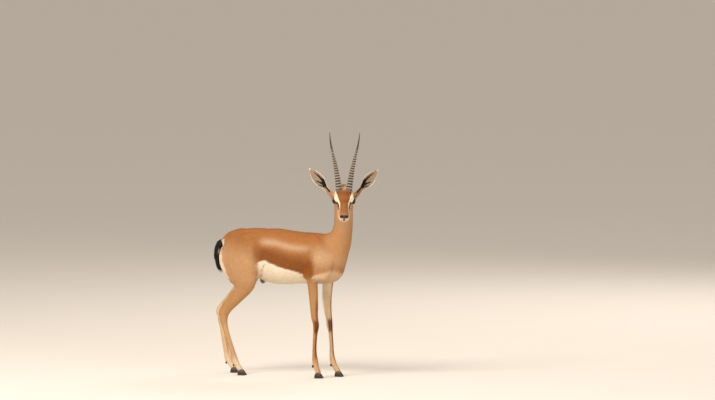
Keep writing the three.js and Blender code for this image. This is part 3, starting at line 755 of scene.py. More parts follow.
# ---- markings ------------------------------------------------------------------------
def noise(P, size, seed=0):
    """Smooth value noise from -1 to 1."""
    q = np.asarray(P, float) / size + 37.7
    i = np.floor(q).astype(np.int64)
    f = q - i
    f = f * f * (3 - 2 * f)
    out = np.zeros(len(q))
    for dx in (0, 1):
        for dy in (0, 1):
            for dz in (0, 1):
                h = ((i[:, 0] + dx) * 374761393 + (i[:, 1] + dy) * 668265263 + (i[:, 2] + dz) * 2147483647 + seed * 1274126177) & 0xFFFFFFFF
                h = ((h ^ (h >> 13)) * 1274126177) & 0xFFFFFFFF
                v = ((h ^ (h >> 16)) & 0xFFFF) / 32767.5 - 1
                w = (f[:, 0] if dx else 1 - f[:, 0]) * (f[:, 1] if dy else 1 - f[:, 1]) * (f[:, 2] if dz else 1 - f[:, 2])
                out += v * w
    return out


def mix(a, b, w):
    w = np.asarray(w)[..., None]
    return np.asarray(a) * (1 - w) + np.asarray(b) * w


RUFOUS = np.array([0.415, 0.155, 0.043])
SIDE = np.array([0.385, 0.150, 0.042])
PALE = np.array([0.58, 0.355, 0.20])
FLANK = np.array([0.235, 0.072, 0.0145])
ELBOW = np.array([0.255, 0.068, 0.006])
SHOULDER_TAN = np.array([0.585, 0.345, 0.180])
HAUNCH = np.array([0.555, 0.298, 0.138])
WHITE = np.array([0.89, 0.735, 0.555])
LEG_TAN = np.array([0.51, 0.262, 0.108])
CREAM = np.array([0.71, 0.455, 0.245])
KNEE = np.array([0.155, 0.046, 0.013])
INNER = np.array([0.70, 0.485, 0.30])
CHEST = np.array([0.69, 0.455, 0.265])
NECK_TAN = np.array([0.50, 0.240, 0.095])
BLACK = np.array([0.016, 0.010, 0.008])
BLAZE = np.array([0.29, 0.096, 0.026])
CHEEK = np.array([0.56, 0.345, 0.190])
NOSE = np.array([0.035, 0.014, 0.009])
EAR_BACK = np.array([0.50, 0.30, 0.155])
CHIN = np.array([0.77, 0.60, 0.44])


FLANK_FOLD = np.array([(-50, 471), (-58, 461), (-66, 446), (-72, 432), (-80, 418)], float)


def rump_edge(Z, side):
    """X of the edge between the tan of the thigh and the white behind it."""
    if side > 0:
        return np.interp(Z, [380, 408, 447, 485, 525, 560], [-226, -236, -247, -253, -264, -266])
    return np.interp(Z, [380, 406, 424, 441, 459, 493, 529, 560], [-196, -206, -217, -224.5, -231, -244, -253, -255])


def trunk_colour(P, N, whole=True):
    X, Y, Z = P[:, 0], np.abs(P[:, 1]), P[:, 2]
    wob = noise(P, 24, 1) * 2.2 + noise(P, 7, 2) * 1.6
    zb = np.interp(X, [-230, -120, -90, -76, -48, 13, 65, 121, 134, 150, 174, 209, 250, 262, 275], [430, 455, 476, 484, 489, 467, 453, 436, 420, 418, 430, 445, 459, 455, 440])
    pc = np.interp(X, [-90, -68, 0, 66, 130, 160], [572, 567, 563, 546, 542, 545])
    c = mix(SIDE, RUFOUS, step(Z, pc - 4, pc + 34))
    c = mix(c, RUFOUS * 0.9, step(Z, 592, 622) * 0.6)
    # haunch and shoulder
    c = mix(c, HAUNCH, step(-X, 58, 116) * (1 - step(Z + 0.10 * (X + 150), 490, 585)))
    c = mix(c, SHOULDER_TAN, step(X, 138, 192) * (1 - step(Z, 505, 585)))
    c = mix(c, mix(NECK_TAN, ELBOW, 0.35), step(X, 155, 190) * (1 - step(Z, 448, 505)) * 0.85)
    # the dark band over the belly, and the pale one above it
    along = step(X, -108, -60) * (1 - step(X, 140, 186))
    dark = (1 - step(Z, zb + 36, pc - 8)) * along
    c = mix(c, FLANK, dark * 0.92)
    # a patch of the dark band's colour over the hollow in front of the thigh: painted shade in that hollow
    c = mix(c, FLANK * 1.15, np.exp(-(((X + 88) / 17) ** 2) - ((Z - 530) / 38) ** 2) * 0.55)
    pale = np.exp(-(((Z - pc) / 15) ** 2)) * step(X, -100, -42) * (1 - step(X, 118, 174))
    c = mix(c, PALE, pale * 0.9)
    el = np.exp(-((((X - 154) / 24) ** 2) + ((Z - 452) / 44) ** 2) ** 1.5)
    c = mix(c, ELBOW, el * 0.95)
    if not whole:
        return c
    # white below
    w = 1 - step(Z + wob, zb - 3.5 - 6 * step(X, 150, 200), zb + 2.5 + 3 * step(X, 150, 200))
    # the belly's white is painted up to 6% brighter towards the front: painted light thrown up from the floor
    c = mix(c, mix(WHITE * (1 + 0.06 * step(X, -30, 40))[:, None], CHEST, step(X, 150, 205)), w)
    lobe = step(X, -122, -114) * (1 - step(X, -82, -74)) * (1 - step(Z, 401, 410)) * (1 - step(Y, 13, 20))
    # a dark line along the fold where the belly meets the thigh: painted shade in the fold
    crease, _ = off_line(np.stack([X, Z], 1), FLANK_FOLD)
    c = mix(c, np.array([0.30, 0.175, 0.095]), np.exp(-((crease / 2.4) ** 2)) * w * 0.8)
    c = mix(c, np.array([0.17, 0.065, 0.026]), lobe * 0.92)
    # white round the root of the tail and down the buttocks
    r = (1 - step(X + wob * 0.7, rump_edge(Z, -1) - 3, rump_edge(Z, -1) + 3)) * step(Z, 400, 422) * (1 - step(Z, 564, 578))
    return mix(c, WHITE, r)


def neck_colour(P, N):
    Z = P[:, 2]
    front = N @ FACING
    c = np.broadcast_to(NECK_TAN, P.shape).copy()
    c = mix(c, RUFOUS, step(-front, 0.1, 0.9) * 0.75)
    c = mix(c, SHOULDER_TAN, (1 - step(Z, 520, 640)) * 0.15)
    c = mix(c, SHOULDER_TAN, step(Z, 610, 690) * 0.6)
    c = mix(c, CHEEK * np.array([0.95, 0.95, 1.0]), step(front, 0.55, 1.0) * step(Z, 560, 700) * 0.55)
    return c


def leg_colour(P, N, name):
    side = -1 if name.endswith("right") else 1
    Z = P[:, 2]
    out, front = N[:, 1] * side, N[:, 0]
    n1 = noise(P, 16, 3) * 0.08
    if name.startswith("fore"):
        c = mix(LEG_TAN, LEG_TAN * np.array([0.92, 0.86, 0.8]), 1 - step(Z, 180, 330))
        c = mix(c, SHOULDER_TAN, step(Z, 440, 500) * 0.6)
        c = mix(c, ELBOW, np.exp(-(((Z - 450) / 40) ** 2)) * 0.95)
        c = mix(c, trunk_colour(P, N, False), step(Z, 448, 500))
        inner = step(-out - front * 0.55 + n1, -0.02, 0.22)
        rear = step(-front - out * 0.22 + n1, 0.48, 0.74) * step(Z, 262, 296) * (1 - step(Z, 410, 426))
        c = mix(c, mix(CREAM * 0.96, INNER, step(Z, 170, 260)), inner)
        c = mix(c, WHITE * 0.97, np.clip(rear + inner * step(Z, 330, 400), 0, 1))
        # knee patch, and the line below and above it
        knee = step(front + n1, -0.38, 0.12) * step(Z, 184, 196) * (1 - step(Z, 236, 252))
        c = mix(c, KNEE, knee * 0.95)
        line = step(front + out * 0.2 + n1, 0.42, 0.74) * step(Z, 74, 100) * (1 - step(Z, 188, 200))
        c = mix(c, KNEE * 1.25, line * 0.88)
        above = step(front + out * 0.25 + n1, 0.6, 0.88) * step(Z, 236, 248) * (1 - step(Z, 300, 350))
        c = mix(c, KNEE * 1.7, above * 0.7)
        pale = (1 - step(Z, 52, 92)) * (1 - 0.55 * step(front + out * 0.4, 0.2, 0.9))
        c = mix(c, CREAM, pale)
    else:
        c = mix(LEG_TAN * 1.0, HAUNCH, step(Z, 320, 430))
        c = mix(c, mix(HAUNCH, RUFOUS, 0.75), step(Z + 0.10 * (P[:, 0] + 150), 490, 585))
        c = mix(c, trunk_colour(P, N, False), step(Z, 450, 505) * step(P[:, 0], -215, -165))
        c = mix(c, mix(LEG_TAN, CREAM, 0.38), 1 - step(Z, 190, 260))
        inner = step(-out + n1, 0.12, 0.42)
        c = mix(c, mix(CREAM, INNER, step(Z, 210, 300)), inner)
        c = mix(c, WHITE, inner * step(Z, 380, 440))
        rear = step(-front - 0.12 * out + n1, 0.70, 0.88) * step(Z, 222, 244) * (1 - step(Z, 384, 410))
        c = mix(c, WHITE, rear * 0.97)
        wob = noise(P, 24, 1) * 1.6
        xr = rump_edge(Z, side)
        c = mix(c, WHITE, (1 - step(P[:, 0] + wob, xr - 3, xr + 3)) * step(Z, 398, 418))
        c = mix(c, LEG_TAN * 0.82, step(front - 0.2 * out + n1, 0.8, 0.98) * step(Z, 80, 110) * (1 - step(Z, 200, 240)) * 0.35)
        c = mix(c, mix(CREAM, WHITE, 0.45), 1 - step(Z, 52, 92))
    return c


# The dark stripe from the eye's corner towards the mouth: its height at each place along the head.
STRIPE_X = [14, 20, 30, 38, 49, 60, 70, 80]
STRIPE_Z = [2.0, 1.2, 1.2, -0.2, -3.2, -7.8, -13, -18]


def head_colour(P, N):
    q = (P - E) @ HEAD.T
    x, y, z = q[:, 0], np.abs(q[:, 1]), q[:, 2]
    up = -x * math.sin(PITCH) + z * math.cos(PITCH)
    faces = N @ FACING
    n3, n6, n14 = noise(P, 3, 16), noise(P, 6, 6), noise(P, 14, 17)
    edge = n3 * 0.5 + n6 * 0.5
    m = np.stack([x, y, z], 1)
    # crown, cheeks and jaw
    c = mix(CHEEK, NECK_TAN, step(-x, 18, 52))
    c = mix(c, CHEEK * np.array([0.9, 0.82, 0.75]), step(-x, -4, 22) * step(z, -34, -6) * 0.7)
    c = mix(c, CHEEK * np.array([1.14, 1.2, 1.25]), np.exp(-(((x - 34) / 22) ** 2) - ((z + 20) / 9) ** 2) * 0.7)
    c = mix(c, WHITE * 0.95, step(-z - 0.10 * x + n6 * 1.5, 33, 44) * step(x, -34, 10))
    # the nearest and furthest each stripe reaches from the middle of the face, at each height
    at = [-75, -60, -52, -44, -27, -11, 5, 21, 37, 60]
    brown = np.interp(up, at, [13, 18, 19.2, 17.4, 16.0, 16.2, 21.8, 28.5, 34, 34])
    pale = np.interp(up, at, [26, 25, 21.8, 20.6, 20.8, 24, 33, 42, 54, 60])
    before = step(faces + n14 * 0.05, -0.12, 0.12) * step(x, -44, -30)
    over = z + edge * 0.7 - np.interp(x, STRIPE_X, STRIPE_Z)  # above the dark stripe
    reach = np.where(x > 16, over, pale - y - edge)
    w = step(reach, -0.9, 0.9) * before * (1 - step(x, 86, 96))
    brow = step(up, 6, 12) * step(x, -46, -28) * (1 - step(up, 33, 44)) * step(y, 26, 31)
    c = mix(c, WHITE, np.clip(w + brow * 0.95, 0, 1) * 0.97)
    wide = np.interp(x, [14, 20, 34, 56, 70, 80], [4.4, 5.6, 5.4, 5.0, 4.0, 2.0])
    stripe = (1 - step(np.abs(over), wide - 0.9, wide + 0.7)) * step(x, 12, 18) * (1 - step(x, 70, 80)) * step(y, 12, 15)
    c = mix(c, mix(KNEE * 0.40, KNEE * 0.66, step(x, 24, 66)), stripe * 0.96)
    crown = step(x, -42, -30)
    bl = (1 - step(y + edge, brown - 0.9, brown + 0.9)) * step(faces, -0.05, 0.2) * crown * step(-up, -46 - 3, -43 - 3)
    blaze_tone_and_sheen = mix(BLAZE * np.array([0.8, 0.76, 0.7]), BLAZE * np.array([1.08, 1.12, 1.15]), step(-up, -34, -12))
    blaze_tone_and_sheen = mix(blaze_tone_and_sheen, BLAZE * 0.82, np.exp(-(((up + 1) / 9) ** 2)) * 0.8)
    # a pale greyish spot down the middle of the lower face: painted sheen over the blaze's own colour
    blaze_tone_and_sheen = mix(blaze_tone_and_sheen, BLAZE * np.array([1.15, 1.35, 1.6]), np.exp(-(((up + 29) / 9) ** 2) - (y / 7) ** 2) * 0.6)
    blaze_tone_and_sheen = mix(blaze_tone_and_sheen, np.array([0.35, 0.165, 0.078]), step(-up, 40, 50))
    blaze_tone_and_sheen = blaze_tone_and_sheen * (1 + 0.09 * n6 + 0.07 * n14)[:, None]
    c = mix(c, blaze_tone_and_sheen, bl)
    # above and round the eye
    e = (m - np.array(EYE_AT)) @ EYE_AXES.astype(float)
    near = np.sqrt((e * e).sum(1))
    al = almond(e)
    ringed = (near < 26) & (e[:, 2] > 0)
    c = mix(c, WHITE, ringed * (1 - step(al, 5, 9)) * step(e[:, 1], -3, 4) * 0.9)
    c = mix(c, WHITE * 0.9, ringed * (1 - step(al, 4, 7)) * (1 - step(e[:, 1], -5, 1)) * 0.45)
    c = mix(c, np.array([0.030, 0.015, 0.011]), ringed * (1 - step(al + n3 * 0.3 + 0.10 * np.clip(-e[:, 1] - 3, 0, 9), 2.5, 4.0)))
    corner = np.exp(-(((x - 21) / 6) ** 2) - ((y - 30) / 6.5) ** 2 - ((z + 4) / 6.5) ** 2)
    c = mix(c, np.array([0.055, 0.026, 0.016]), np.clip(corner * 1.6, 0, 1) * 0.93)
    # pale hair between the horns
    tuft = np.exp(-(((up - 58) / 14) ** 2) - (y / 12.5) ** 4) * step(x, -74, -62)
    c = mix(c, CREAM * np.array([0.86, 0.8, 0.74]), np.clip(tuft * 1.5, 0, 1) * 0.9)
    # muzzle: nose, lips and chin
    lips = step(x, 76, 90) * step(-up, 62, 69)
    c = mix(c, CHIN, lips * 0.95)
    c = mix(c, CHIN, step(x, 56, 80) * step(-z, 30, 36) * 0.9)
    nose = step(x + n3 * 0.6, 92, 96) * (1 - step(y + n3 * 0.4, 17.2, 19.2)) * step(-up + n3 * 0.5, 55.5, 58) * (1 - step(-up + 0.10 * y, 68.5, 71))
    # the nostrils are painted darker than the rest of the nose pad: painted shade in their hollows
    nostril = np.exp(-(((y - 9.5) / 4.2) ** 2) - ((up + 63.5) / 2.6) ** 2)
    c = mix(c, mix(mix(NOSE * 2.0, NOSE * 1.2, step(y, 3, 8)), NOSE * 0.35, np.clip(nostril * 1.3, 0, 1)), nose * 0.97)
    c = mix(c, np.array([0.13, 0.060, 0.036]), step(x, 98, 102) * (1 - step(y, 2.6, 5)) * step(-up, 68, 70) * (1 - step(-up, 79, 83)) * 0.9)
    mouth = step(x, 62, 76) * np.exp(-(((z + 36.5) / 1.9) ** 2)) * (1 - step(y, 24, 30))
    c = mix(c, NOSE * 2, mouth * 0.9)
    return c


def ear_colour(P, N, side):
    t, phi, off, R, half = ear_coords(P, side)
    k = -phi / half  # -1 at the outer rim, 1 at the inner
    n5, n2 = noise(P, 5, 8), noise(P, 2.2, 9)
    back = mix(EAR_BACK, NECK_TAN, 1 - step(t, 0.05, 0.35))
    back = mix(back, KNEE * 0.8, step(t, 0.93, 1.0) * 0.7)
    hair = np.array([0.35, 0.25, 0.17])
    rim = np.array([0.82, 0.69, 0.50])
    dark = np.array([0.014, 0.006, 0.005])
    # a dark blotch at the root's inner side sends three branches out between streaks of pale hair
    branches = (
        ([0.42, 0.50, 0.60, 0.72, 0.82, 0.87], [0.25, 0.36, 0.40, 0.38, 0.30, 0.27], [0.34, 0.27, 0.20, 0.15, 0.10, 0.03]),
        ([0.42, 0.48, 0.54, 0.60, 0.66], [0.10, 0.0, -0.12, -0.34, -0.5], [0.30, 0.24, 0.18, 0.14, 0.05]),
        ([0.37, 0.42, 0.46, 0.51, 0.56], [-0.05, -0.30, -0.52, -0.72, -0.85], [0.30, 0.24, 0.18, 0.12, 0.04]),
    )
    fan = np.zeros(len(P))
    for ts, ks, ws in branches:
        mid, wide = np.interp(t, ts, ks), np.interp(t, ts, ws)
        on = step(t, ts[0] - 0.05, ts[0] + 0.01) * (1 - step(t, ts[-1] - 0.04, ts[-1]))
        fan = np.maximum(fan, np.exp(-(((k - mid + n5 * 0.03) / wide) ** 2)) * on)
    fan = np.maximum(fan, np.exp(-(((t - 0.475) / 0.10) ** 2) - ((k - 0.52) / 0.48) ** 2) * 1.5)
    fan = np.maximum(fan, np.exp(-(((t - 0.41) / 0.06) ** 2) - ((k - 0.2) / 0.55) ** 2) * 1.2)
    fan = np.maximum(fan, (1 - step(t, 0.34, 0.42)) * step(t, 0.14, 0.22) * np.exp(-(((k - 0.16) / 0.27) ** 2)))
    inside = mix(hair * (0.94 + 0.10 * n2 + 0.06 * n5)[:, None], dark, step(fan + n2 * 0.06, 0.34, 0.56))
    inside = mix(inside, mix(EAR_BACK, hair, 0.4), (1 - step(t, 0.28, 0.40)) * (1 - step(fan, 0.3, 0.55)))
    inside = mix(inside, rim, np.maximum(step(np.abs(k), 0.85, 0.93), step(t, 0.945, 0.975)) * step(t, 0.2, 0.3))
    return mix(back, inside, 1 - step(off, 0.1, 1.1))


REGIONS = ["trunk", "neck"] + LEG_NAMES + ["tail", "head", "ear_left", "ear_right"]


def weights_at(parts, sharp=4.0):
    f = np.stack([parts[n] for n in REGIONS], 1).astype(float)
    f = f - f.min(1, keepdims=True)
    w = np.exp(-f / sharp)
    return w / w.sum(1, keepdims=True)


def coat_colour(P, N, w):
    c = np.zeros((len(P), 3))
    for i, n in enumerate(REGIONS):
        sel = w[:, i] > 0.02
        if not sel.any():
            continue
        p, m = P[sel], N[sel]
        if n == "trunk":
            v = trunk_colour(p, m)
        elif n == "neck":
            v = neck_colour(p, m)
        elif n == "tail":
            v = mix(BLACK, WHITE, step(m[:, 0], 0.2, 0.6) * step(p[:, 2], 540, 552))
        elif n == "head":
            v = head_colour(p, m)
        elif n.startswith("ear"):
            v = ear_colour(p, m, 1 if n.endswith("left") else -1)
        else:
            v = leg_colour(p, m, n)
        c[sel] += v * w[sel, i][:, None]
    c /= np.maximum(w[:, :].sum(1, keepdims=True), 1e-6)
    return np.clip(c * (1 + 0.035 * noise(P, 34, 11) + 0.03 * noise(P, 9, 12))[:, None], 0.003, 0.95)


def lie_of(P, N, w):
    """The way the coat lies, before it is laid along the surface."""
    d = np.zeros((len(P), 3))
    X, Z = P[:, 0], P[:, 2]
    back = np.stack([-np.ones(len(P)), np.zeros(len(P)), -0.22 - 0.5 * step(-X, 120, 230) - 0.9 * step(X, 190, 250)], 1)
    down = np.array([-0.12, 0, -1.0])
    q = (P - E) @ HEAD.T
    face = -HEAD[0] + HEAD[2] * (0.1 - 0.5 * step(np.abs(q[:, 1]), 14, 28))[:, None]
    for i, n in enumerate(REGIONS):
        if n == "trunk":
            v = back
        elif n == "neck":
            v = np.array([-0.32, 0.16, -0.93])
        elif n == "tail":
            v = np.array([-0.3, 0, -1.0])
        elif n == "head":
            v = face
        elif n.startswith("ear"):
            v = ear_lie(P, 1 if n.endswith("left") else -1)
        else:
            v = down - np.array([0.35, 0, 0]) * step(Z, 380, 480)[:, None]
        d += v * w[:, i][:, None]
    return d


# ---- tufts -----------------------------------------------------------------------------
def scatter(V, T, N, density, seed):
    """Points over triangles T, as many for each square millimetre as density says at each vertex."""
    rng = np.random.default_rng(seed)
    a, b, c = V[T[:, 0]], V[T[:, 1]], V[T[:, 2]]
    area = 0.5 * np.linalg.norm(np.cross(b - a, c - a), axis=1)
    mass = area * density[T].mean(1)
    count = rng.poisson(mass)
    tri = np.repeat(np.arange(len(T)), count)
    r1, r2 = np.sqrt(rng.random(len(tri))), rng.random(len(tri))
    bary = np.stack([1 - r1, r1 * (1 - r2), r1 * r2], 1)
    P = np.einsum("ij,ijk->ik", bary, V[T[tri]])
    n = unit(np.einsum("ij,ijk->ik", bary, N[T[tri]]))
    return P, n, tri, bary, rng


def spindles(P, n, lie, length, width, lift, rng, sink=0.9, stations=(0.0, 0.5), curl=0.0, fan=0.16):
    """Closed three-sided tufts. Returns vertices, triangles and normals; each tuft has 3 vertices a station and a tip."""
    d = lie - n * (lie * n).sum(1, keepdims=True)
    d = unit(d + 1e-9)
    lat = np.cross(n, d)
    turn = rng.normal(0, fan, len(P))[:, None]
    d, lat = d * np.cos(turn) + lat * np.sin(turn), lat * np.cos(turn) - d * np.sin(turn)
    m = len(stations)
    V = np.zeros((len(P), 3 * m + 1, 3))
    NN = np.zeros_like(V)
    side = rng.normal(0, 1, len(P))[:, None] * curl
    for i, s in enumerate(stations):
        rise = -sink * (1 - s) ** 3 + lift * (1 - (1 - s) ** 1.7)
        mid = P + d * (s * length)[:, None] + n * rise[:, None] + lat * side * (s * s * length)[:, None]
        wide = width * (0.72 if i == 0 else 1.0 - 0.45 * max(0.0, s - 0.4) / 0.6)
        for k, (u, h) in enumerate(((-0.5, -0.05), (0.5, -0.05), (0.0, 0.08))):
            V[:, 3 * i + k] = mid + lat * (wide * u)[:, None] + n * (wide * h)[:, None]
            NN[:, 3 * i + k] = n + lat * (0.9 * u * 2) + n * (h * 0.5)
    V[:, -1] = P + d * length[:, None] + n * lift[:, None] + lat * side * length[:, None]
    NN[:, -1] = n + d * 0.35
    tris = [(0, 2, 1)]
    for i in range(m - 1):
        for k in range(3):
            a, b = 3 * i + k, 3 * i + (k + 1) % 3
            c, e = a + 3, b + 3
            tris += [(a, b, e), (a, e, c)]
    for k in range(3):
        tris.append((3 * (m - 1) + k, 3 * (m - 1) + (k + 1) % 3, 3 * m))
    T = (np.arange(len(P))[:, None, None] * (3 * m + 1) + np.array(tris)[None]).reshape(-1, 3)
    return V, T, unit(NN)


# ---- Blender helpers ---------------------------------------------------------------------
SHIFT = np.array([ORIGIN[0], ORIGIN[1], 0.0])


def metres(P):
    return (np.asarray(P, float) - SHIFT) / 1000


def mesh_of(name, V, F, colours=None, normals=None, uv=None, smooth=True):
    """A mesh object from vertices in body measures, with a colour for each vertex and an OFBake place for each."""
    V = np.ascontiguousarray(metres(V), f32)
    F = np.asarray(F)
    me = bpy.data.meshes.new(name)
    me.vertices.add(len(V))
    me.vertices.foreach_set("co", V.ravel())
    me.loops.add(F.size)
    me.loops.foreach_set("vertex_index", F.astype(np.int32).ravel())
    me.polygons.add(len(F))
    me.polygons.foreach_set("loop_start", np.arange(0, F.size, F.shape[1], dtype=np.int32))
    me.polygons.foreach_set("loop_total", np.full(len(F), F.shape[1], np.int32))
    me.update(calc_edges=True)
    if colours is not None:
        at = me.color_attributes.new("tint", "FLOAT_COLOR", "POINT")
        c = np.ones((len(V), 4), f32)
        c[:, :3] = colours
        at.data.foreach_set("color", c.ravel())
    if uv is not None:
        layer = me.uv_layers.new(name="OFBake")
        layer.uv.foreach_set("vector", np.ascontiguousarray(uv[F.ravel()], f32).ravel())
    me.polygons.foreach_set("use_smooth", np.full(len(F), smooth))
    if normals is not None:
        me.normals_split_custom_set_from_vertices(normals.astype(f32))
    ob = bpy.data.objects.new(name, me)
    bpy.context.scene.collection.objects.link(ob)
    return ob


def done(ob, material, slot, *replaced):
    ob.data.materials.append(material)
    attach(ob, "root")
    if replaced:
        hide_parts(*replaced)
    return ob


def nodes_of(name, **settings):
    m = bpy.data.materials.new(name)
    m.use_nodes = True
    nt = m.node_tree
    b = nt.nodes["Principled BSDF"]
    for k, v in settings.items():
        b.inputs[k.replace("_", " ")].default_value = v
    return m, nt, b


def node(nt, kind, **settings):
    n = nt.nodes.new(kind)
    for k, v in settings.items():
        if k in n.inputs:
            n.inputs[k].default_value = v
        else:
            setattr(n, k, v)
    return n


def noise_node(nt, scale, detail=3.0, rough=0.55, stretch=(1, 1, 1)):
    tc = node(nt, "ShaderNodeTexCoord")
    mp = node(nt, "ShaderNodeMapping")
    mp.inputs["Scale"].default_value = stretch
    nz = node(nt, "ShaderNodeTexNoise")
    nz.inputs["Scale"].default_value = scale
    nz.inputs["Detail"].default_value = detail
    nz.inputs["Roughness"].default_value = rough
    nt.links.new(tc.outputs["Object"], mp.inputs["Vector"])
    nt.links.new(mp.outputs["Vector"], nz.inputs["Vector"])
    return nz


def tinted(name, low, high, scale=90.0, bump=0.0, bump_scale=900.0, stretch=(1, 1, 1), distance=0.0004, attr=True, base=(1, 1, 1), **settings):
    """A finish that takes its colour from the tint attribute, mottled between low and high times it."""
    m, nt, b = nodes_of(name, **settings)
    nz = noise_node(nt, scale, 4.0, 0.6)
    ramp = node(nt, "ShaderNodeMapRange")
    ramp.inputs["From Min"].default_value = 0.3
    ramp.inputs["From Max"].default_value = 0.7
    ramp.inputs["To Min"].default_value = low
    ramp.inputs["To Max"].default_value = high
    nt.links.new(nz.outputs["Fac"], ramp.inputs["Value"])
    mul = node(nt, "ShaderNodeVectorMath", operation="MULTIPLY")
    if attr:
        at = node(nt, "ShaderNodeAttribute", attribute_name="tint")
        nt.links.new(at.outputs["Color"], mul.inputs[0])
    else:
        mul.inputs[0].default_value = base
    nt.links.new(ramp.outputs["Result"], mul.inputs[1])
    nt.links.new(mul.outputs["Vector"], b.inputs["Base Color"])
    if bump:
        fine = noise_node(nt, bump_scale, 3.0, 0.6, stretch)
        bp = node(nt, "ShaderNodeBump")
        bp.inputs["Strength"].default_value = bump
        bp.inputs["Distance"].default_value = distance
        nt.links.new(fine.outputs["Fac"], bp.inputs["Height"])
        nt.links.new(bp.outputs["Normal"], b.inputs["Normal"])
    return m


fur_skin = tinted("coat_under", 0.88, 1.06, 60, 0.6, 700, (1, 1, 0.35), 0.0006, Roughness=0.85, Specular_IOR_Level=0.15)
fur = tinted("coat_hair", 0.92, 1.07, 140, 0, Roughness=0.78, Specular_IOR_Level=0.18)
tail_fur = tinted("tail_hair", 0.8, 1.2, 200, 0, Roughness=0.68, Specular_IOR_Level=0.16)
horn_finish = tinted("horn", 0.72, 1.15, 120, 0.5, 260, (1, 1, 0.12), 0.0006, Roughness=0.48, Specular_IOR_Level=0.4)
hoof_finish = tinted("hoof", 0.7, 1.35, 160, 0.5, 420, (1, 1, 0.3), 0.0005, Roughness=0.5, Specular_IOR_Level=0.3)
eye_finish = tinted("eye", 0.94, 1.04, 300, 0, Roughness=0.07, Specular_IOR_Level=0.22)

# ---- the skin -------------------------------------------------------------------------------
T0 = time.time()
H_BODY, H_HEAD = ((4.3, 1.72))
CUT = np.array([283.5, -20.5, 690.0])
CUT_N = unit(np.array([0.142, -0.296, 0.944]))


def cut_mesh(V, Q, keep_above, offset):
    """Keeps one side of the plane across the neck. Returns vertices, triangles and the open loop."""
    at = CUT + CUT_N * offset
    tmp = bpy.data.meshes.new("tmp")
    tmp.from_pydata(V.tolist(), [], Q.tolist())
    bm = bmesh.new()
    bm.from_mesh(tmp)
    bpy.data.meshes.remove(tmp)
    bmesh.ops.bisect_plane(bm, geom=bm.verts[:] + bm.edges[:] + bm.faces[:], dist=1e-4, plane_co=at, plane_no=CUT_N, clear_inner=keep_above, clear_outer=not keep_above)
    bmesh.ops.triangulate(bm, faces=bm.faces[:], quad_method="SHORT_EDGE")
    bm.verts.ensure_lookup_table()
    bm.verts.index_update()
    P = np.array([v.co[:] for v in bm.verts])
    T = np.array([[v.index for v in f.verts] for f in bm.faces])
    loop = [v.index for v in bm.verts if any(e.is_boundary for e in v.link_edges) and abs((np.array(v.co) - at) @ CUT_N) < 0.05]
    bm.free()
    return P, T, np.array(loop)


def zip_loops(P1, l1, P2, l2):
    """Triangles between two loops round the neck, given their vertices; the second's indices follow the first's."""
    a = unit(np.cross(CUT_N, [0, 0, 1.0]))
    b = np.cross(CUT_N, a)

    def ordered(P, l):
        d = P[l] - CUT
        ang = np.arctan2(d @ b, d @ a)
        o = np.argsort(ang)
        return l[o], ang[o]

    l1, t1 = ordered(P1, l1)
    l2, t2 = ordered(P2, l2)
    i = j = 0
    n1, n2 = len(l1), len(l2)
    out = []
    while i < n1 or j < n2:
        na = t1[(i + 1) % n1] + (2 * math.pi if i + 1 >= n1 else 0)
        nb = t2[(j + 1) % n2] + (2 * math.pi if j + 1 >= n2 else 0)
        if j >= n2 or (i < n1 and na <= nb):
            out.append((l1[i % n1], l1[(i + 1) % n1], len(P1) + l2[j % n2]))
            i += 1
        else:
            out.append((l1[i % n1], len(P1) + l2[(j + 1) % n2], len(P1) + l2[j % n2]))
            j += 1
    return np.array(out)


def grown(lo, hi, h, smoothing):
    F, o = field_grid(lo, hi, h)
    V, Q = surface_nets(F, o, h)
    V = relax(V, Q, *smoothing)
    return onto_skin(V, 2, h * 0.4, min(0.5, h * 0.25)), Q


Vb, Qb = grown((-352, -132, 8), (310, 116, 712), H_BODY, (3, 0.4))
print("body", len(Qb), round(time.time() - T0, 1))
Vh, Qh = grown((142, -202, 664), (426, 50, 892), H_HEAD, (1, 0.3))
print("head", len(Qh), round(time.time() - T0, 1))
Pb, Tb, Lb = cut_mesh(Vb, Qb, False, -2.5)
Ph, Th, Lh = cut_mesh(Vh, Qh, True, 0.0)
bridge = zip_loops(Pb, Lb, Ph, Lh)
SV = np.vstack([Pb, Ph])
ST = np.vstack([Tb, Th + len(Pb), bridge])
g = normals_of(SV, ST)
# the bridge's winding follows the surface it joins
mid = SV[bridge].mean(1)
fn = np.cross(SV[bridge[:, 1]] - SV[bridge[:, 0]], SV[bridge[:, 2]] - SV[bridge[:, 0]])
flip = (fn * (mid - CUT)).sum(1) < 0
if flip.mean() > 0.5:
    bridge = bridge[:, ::-1]
ST = np.vstack([Tb, Th + len(Pb), bridge])
print("skin", len(SV), len(ST), "loops", len(Lb), len(Lh), round(time.time() - T0, 1))
SN = normals_of(SV, ST)
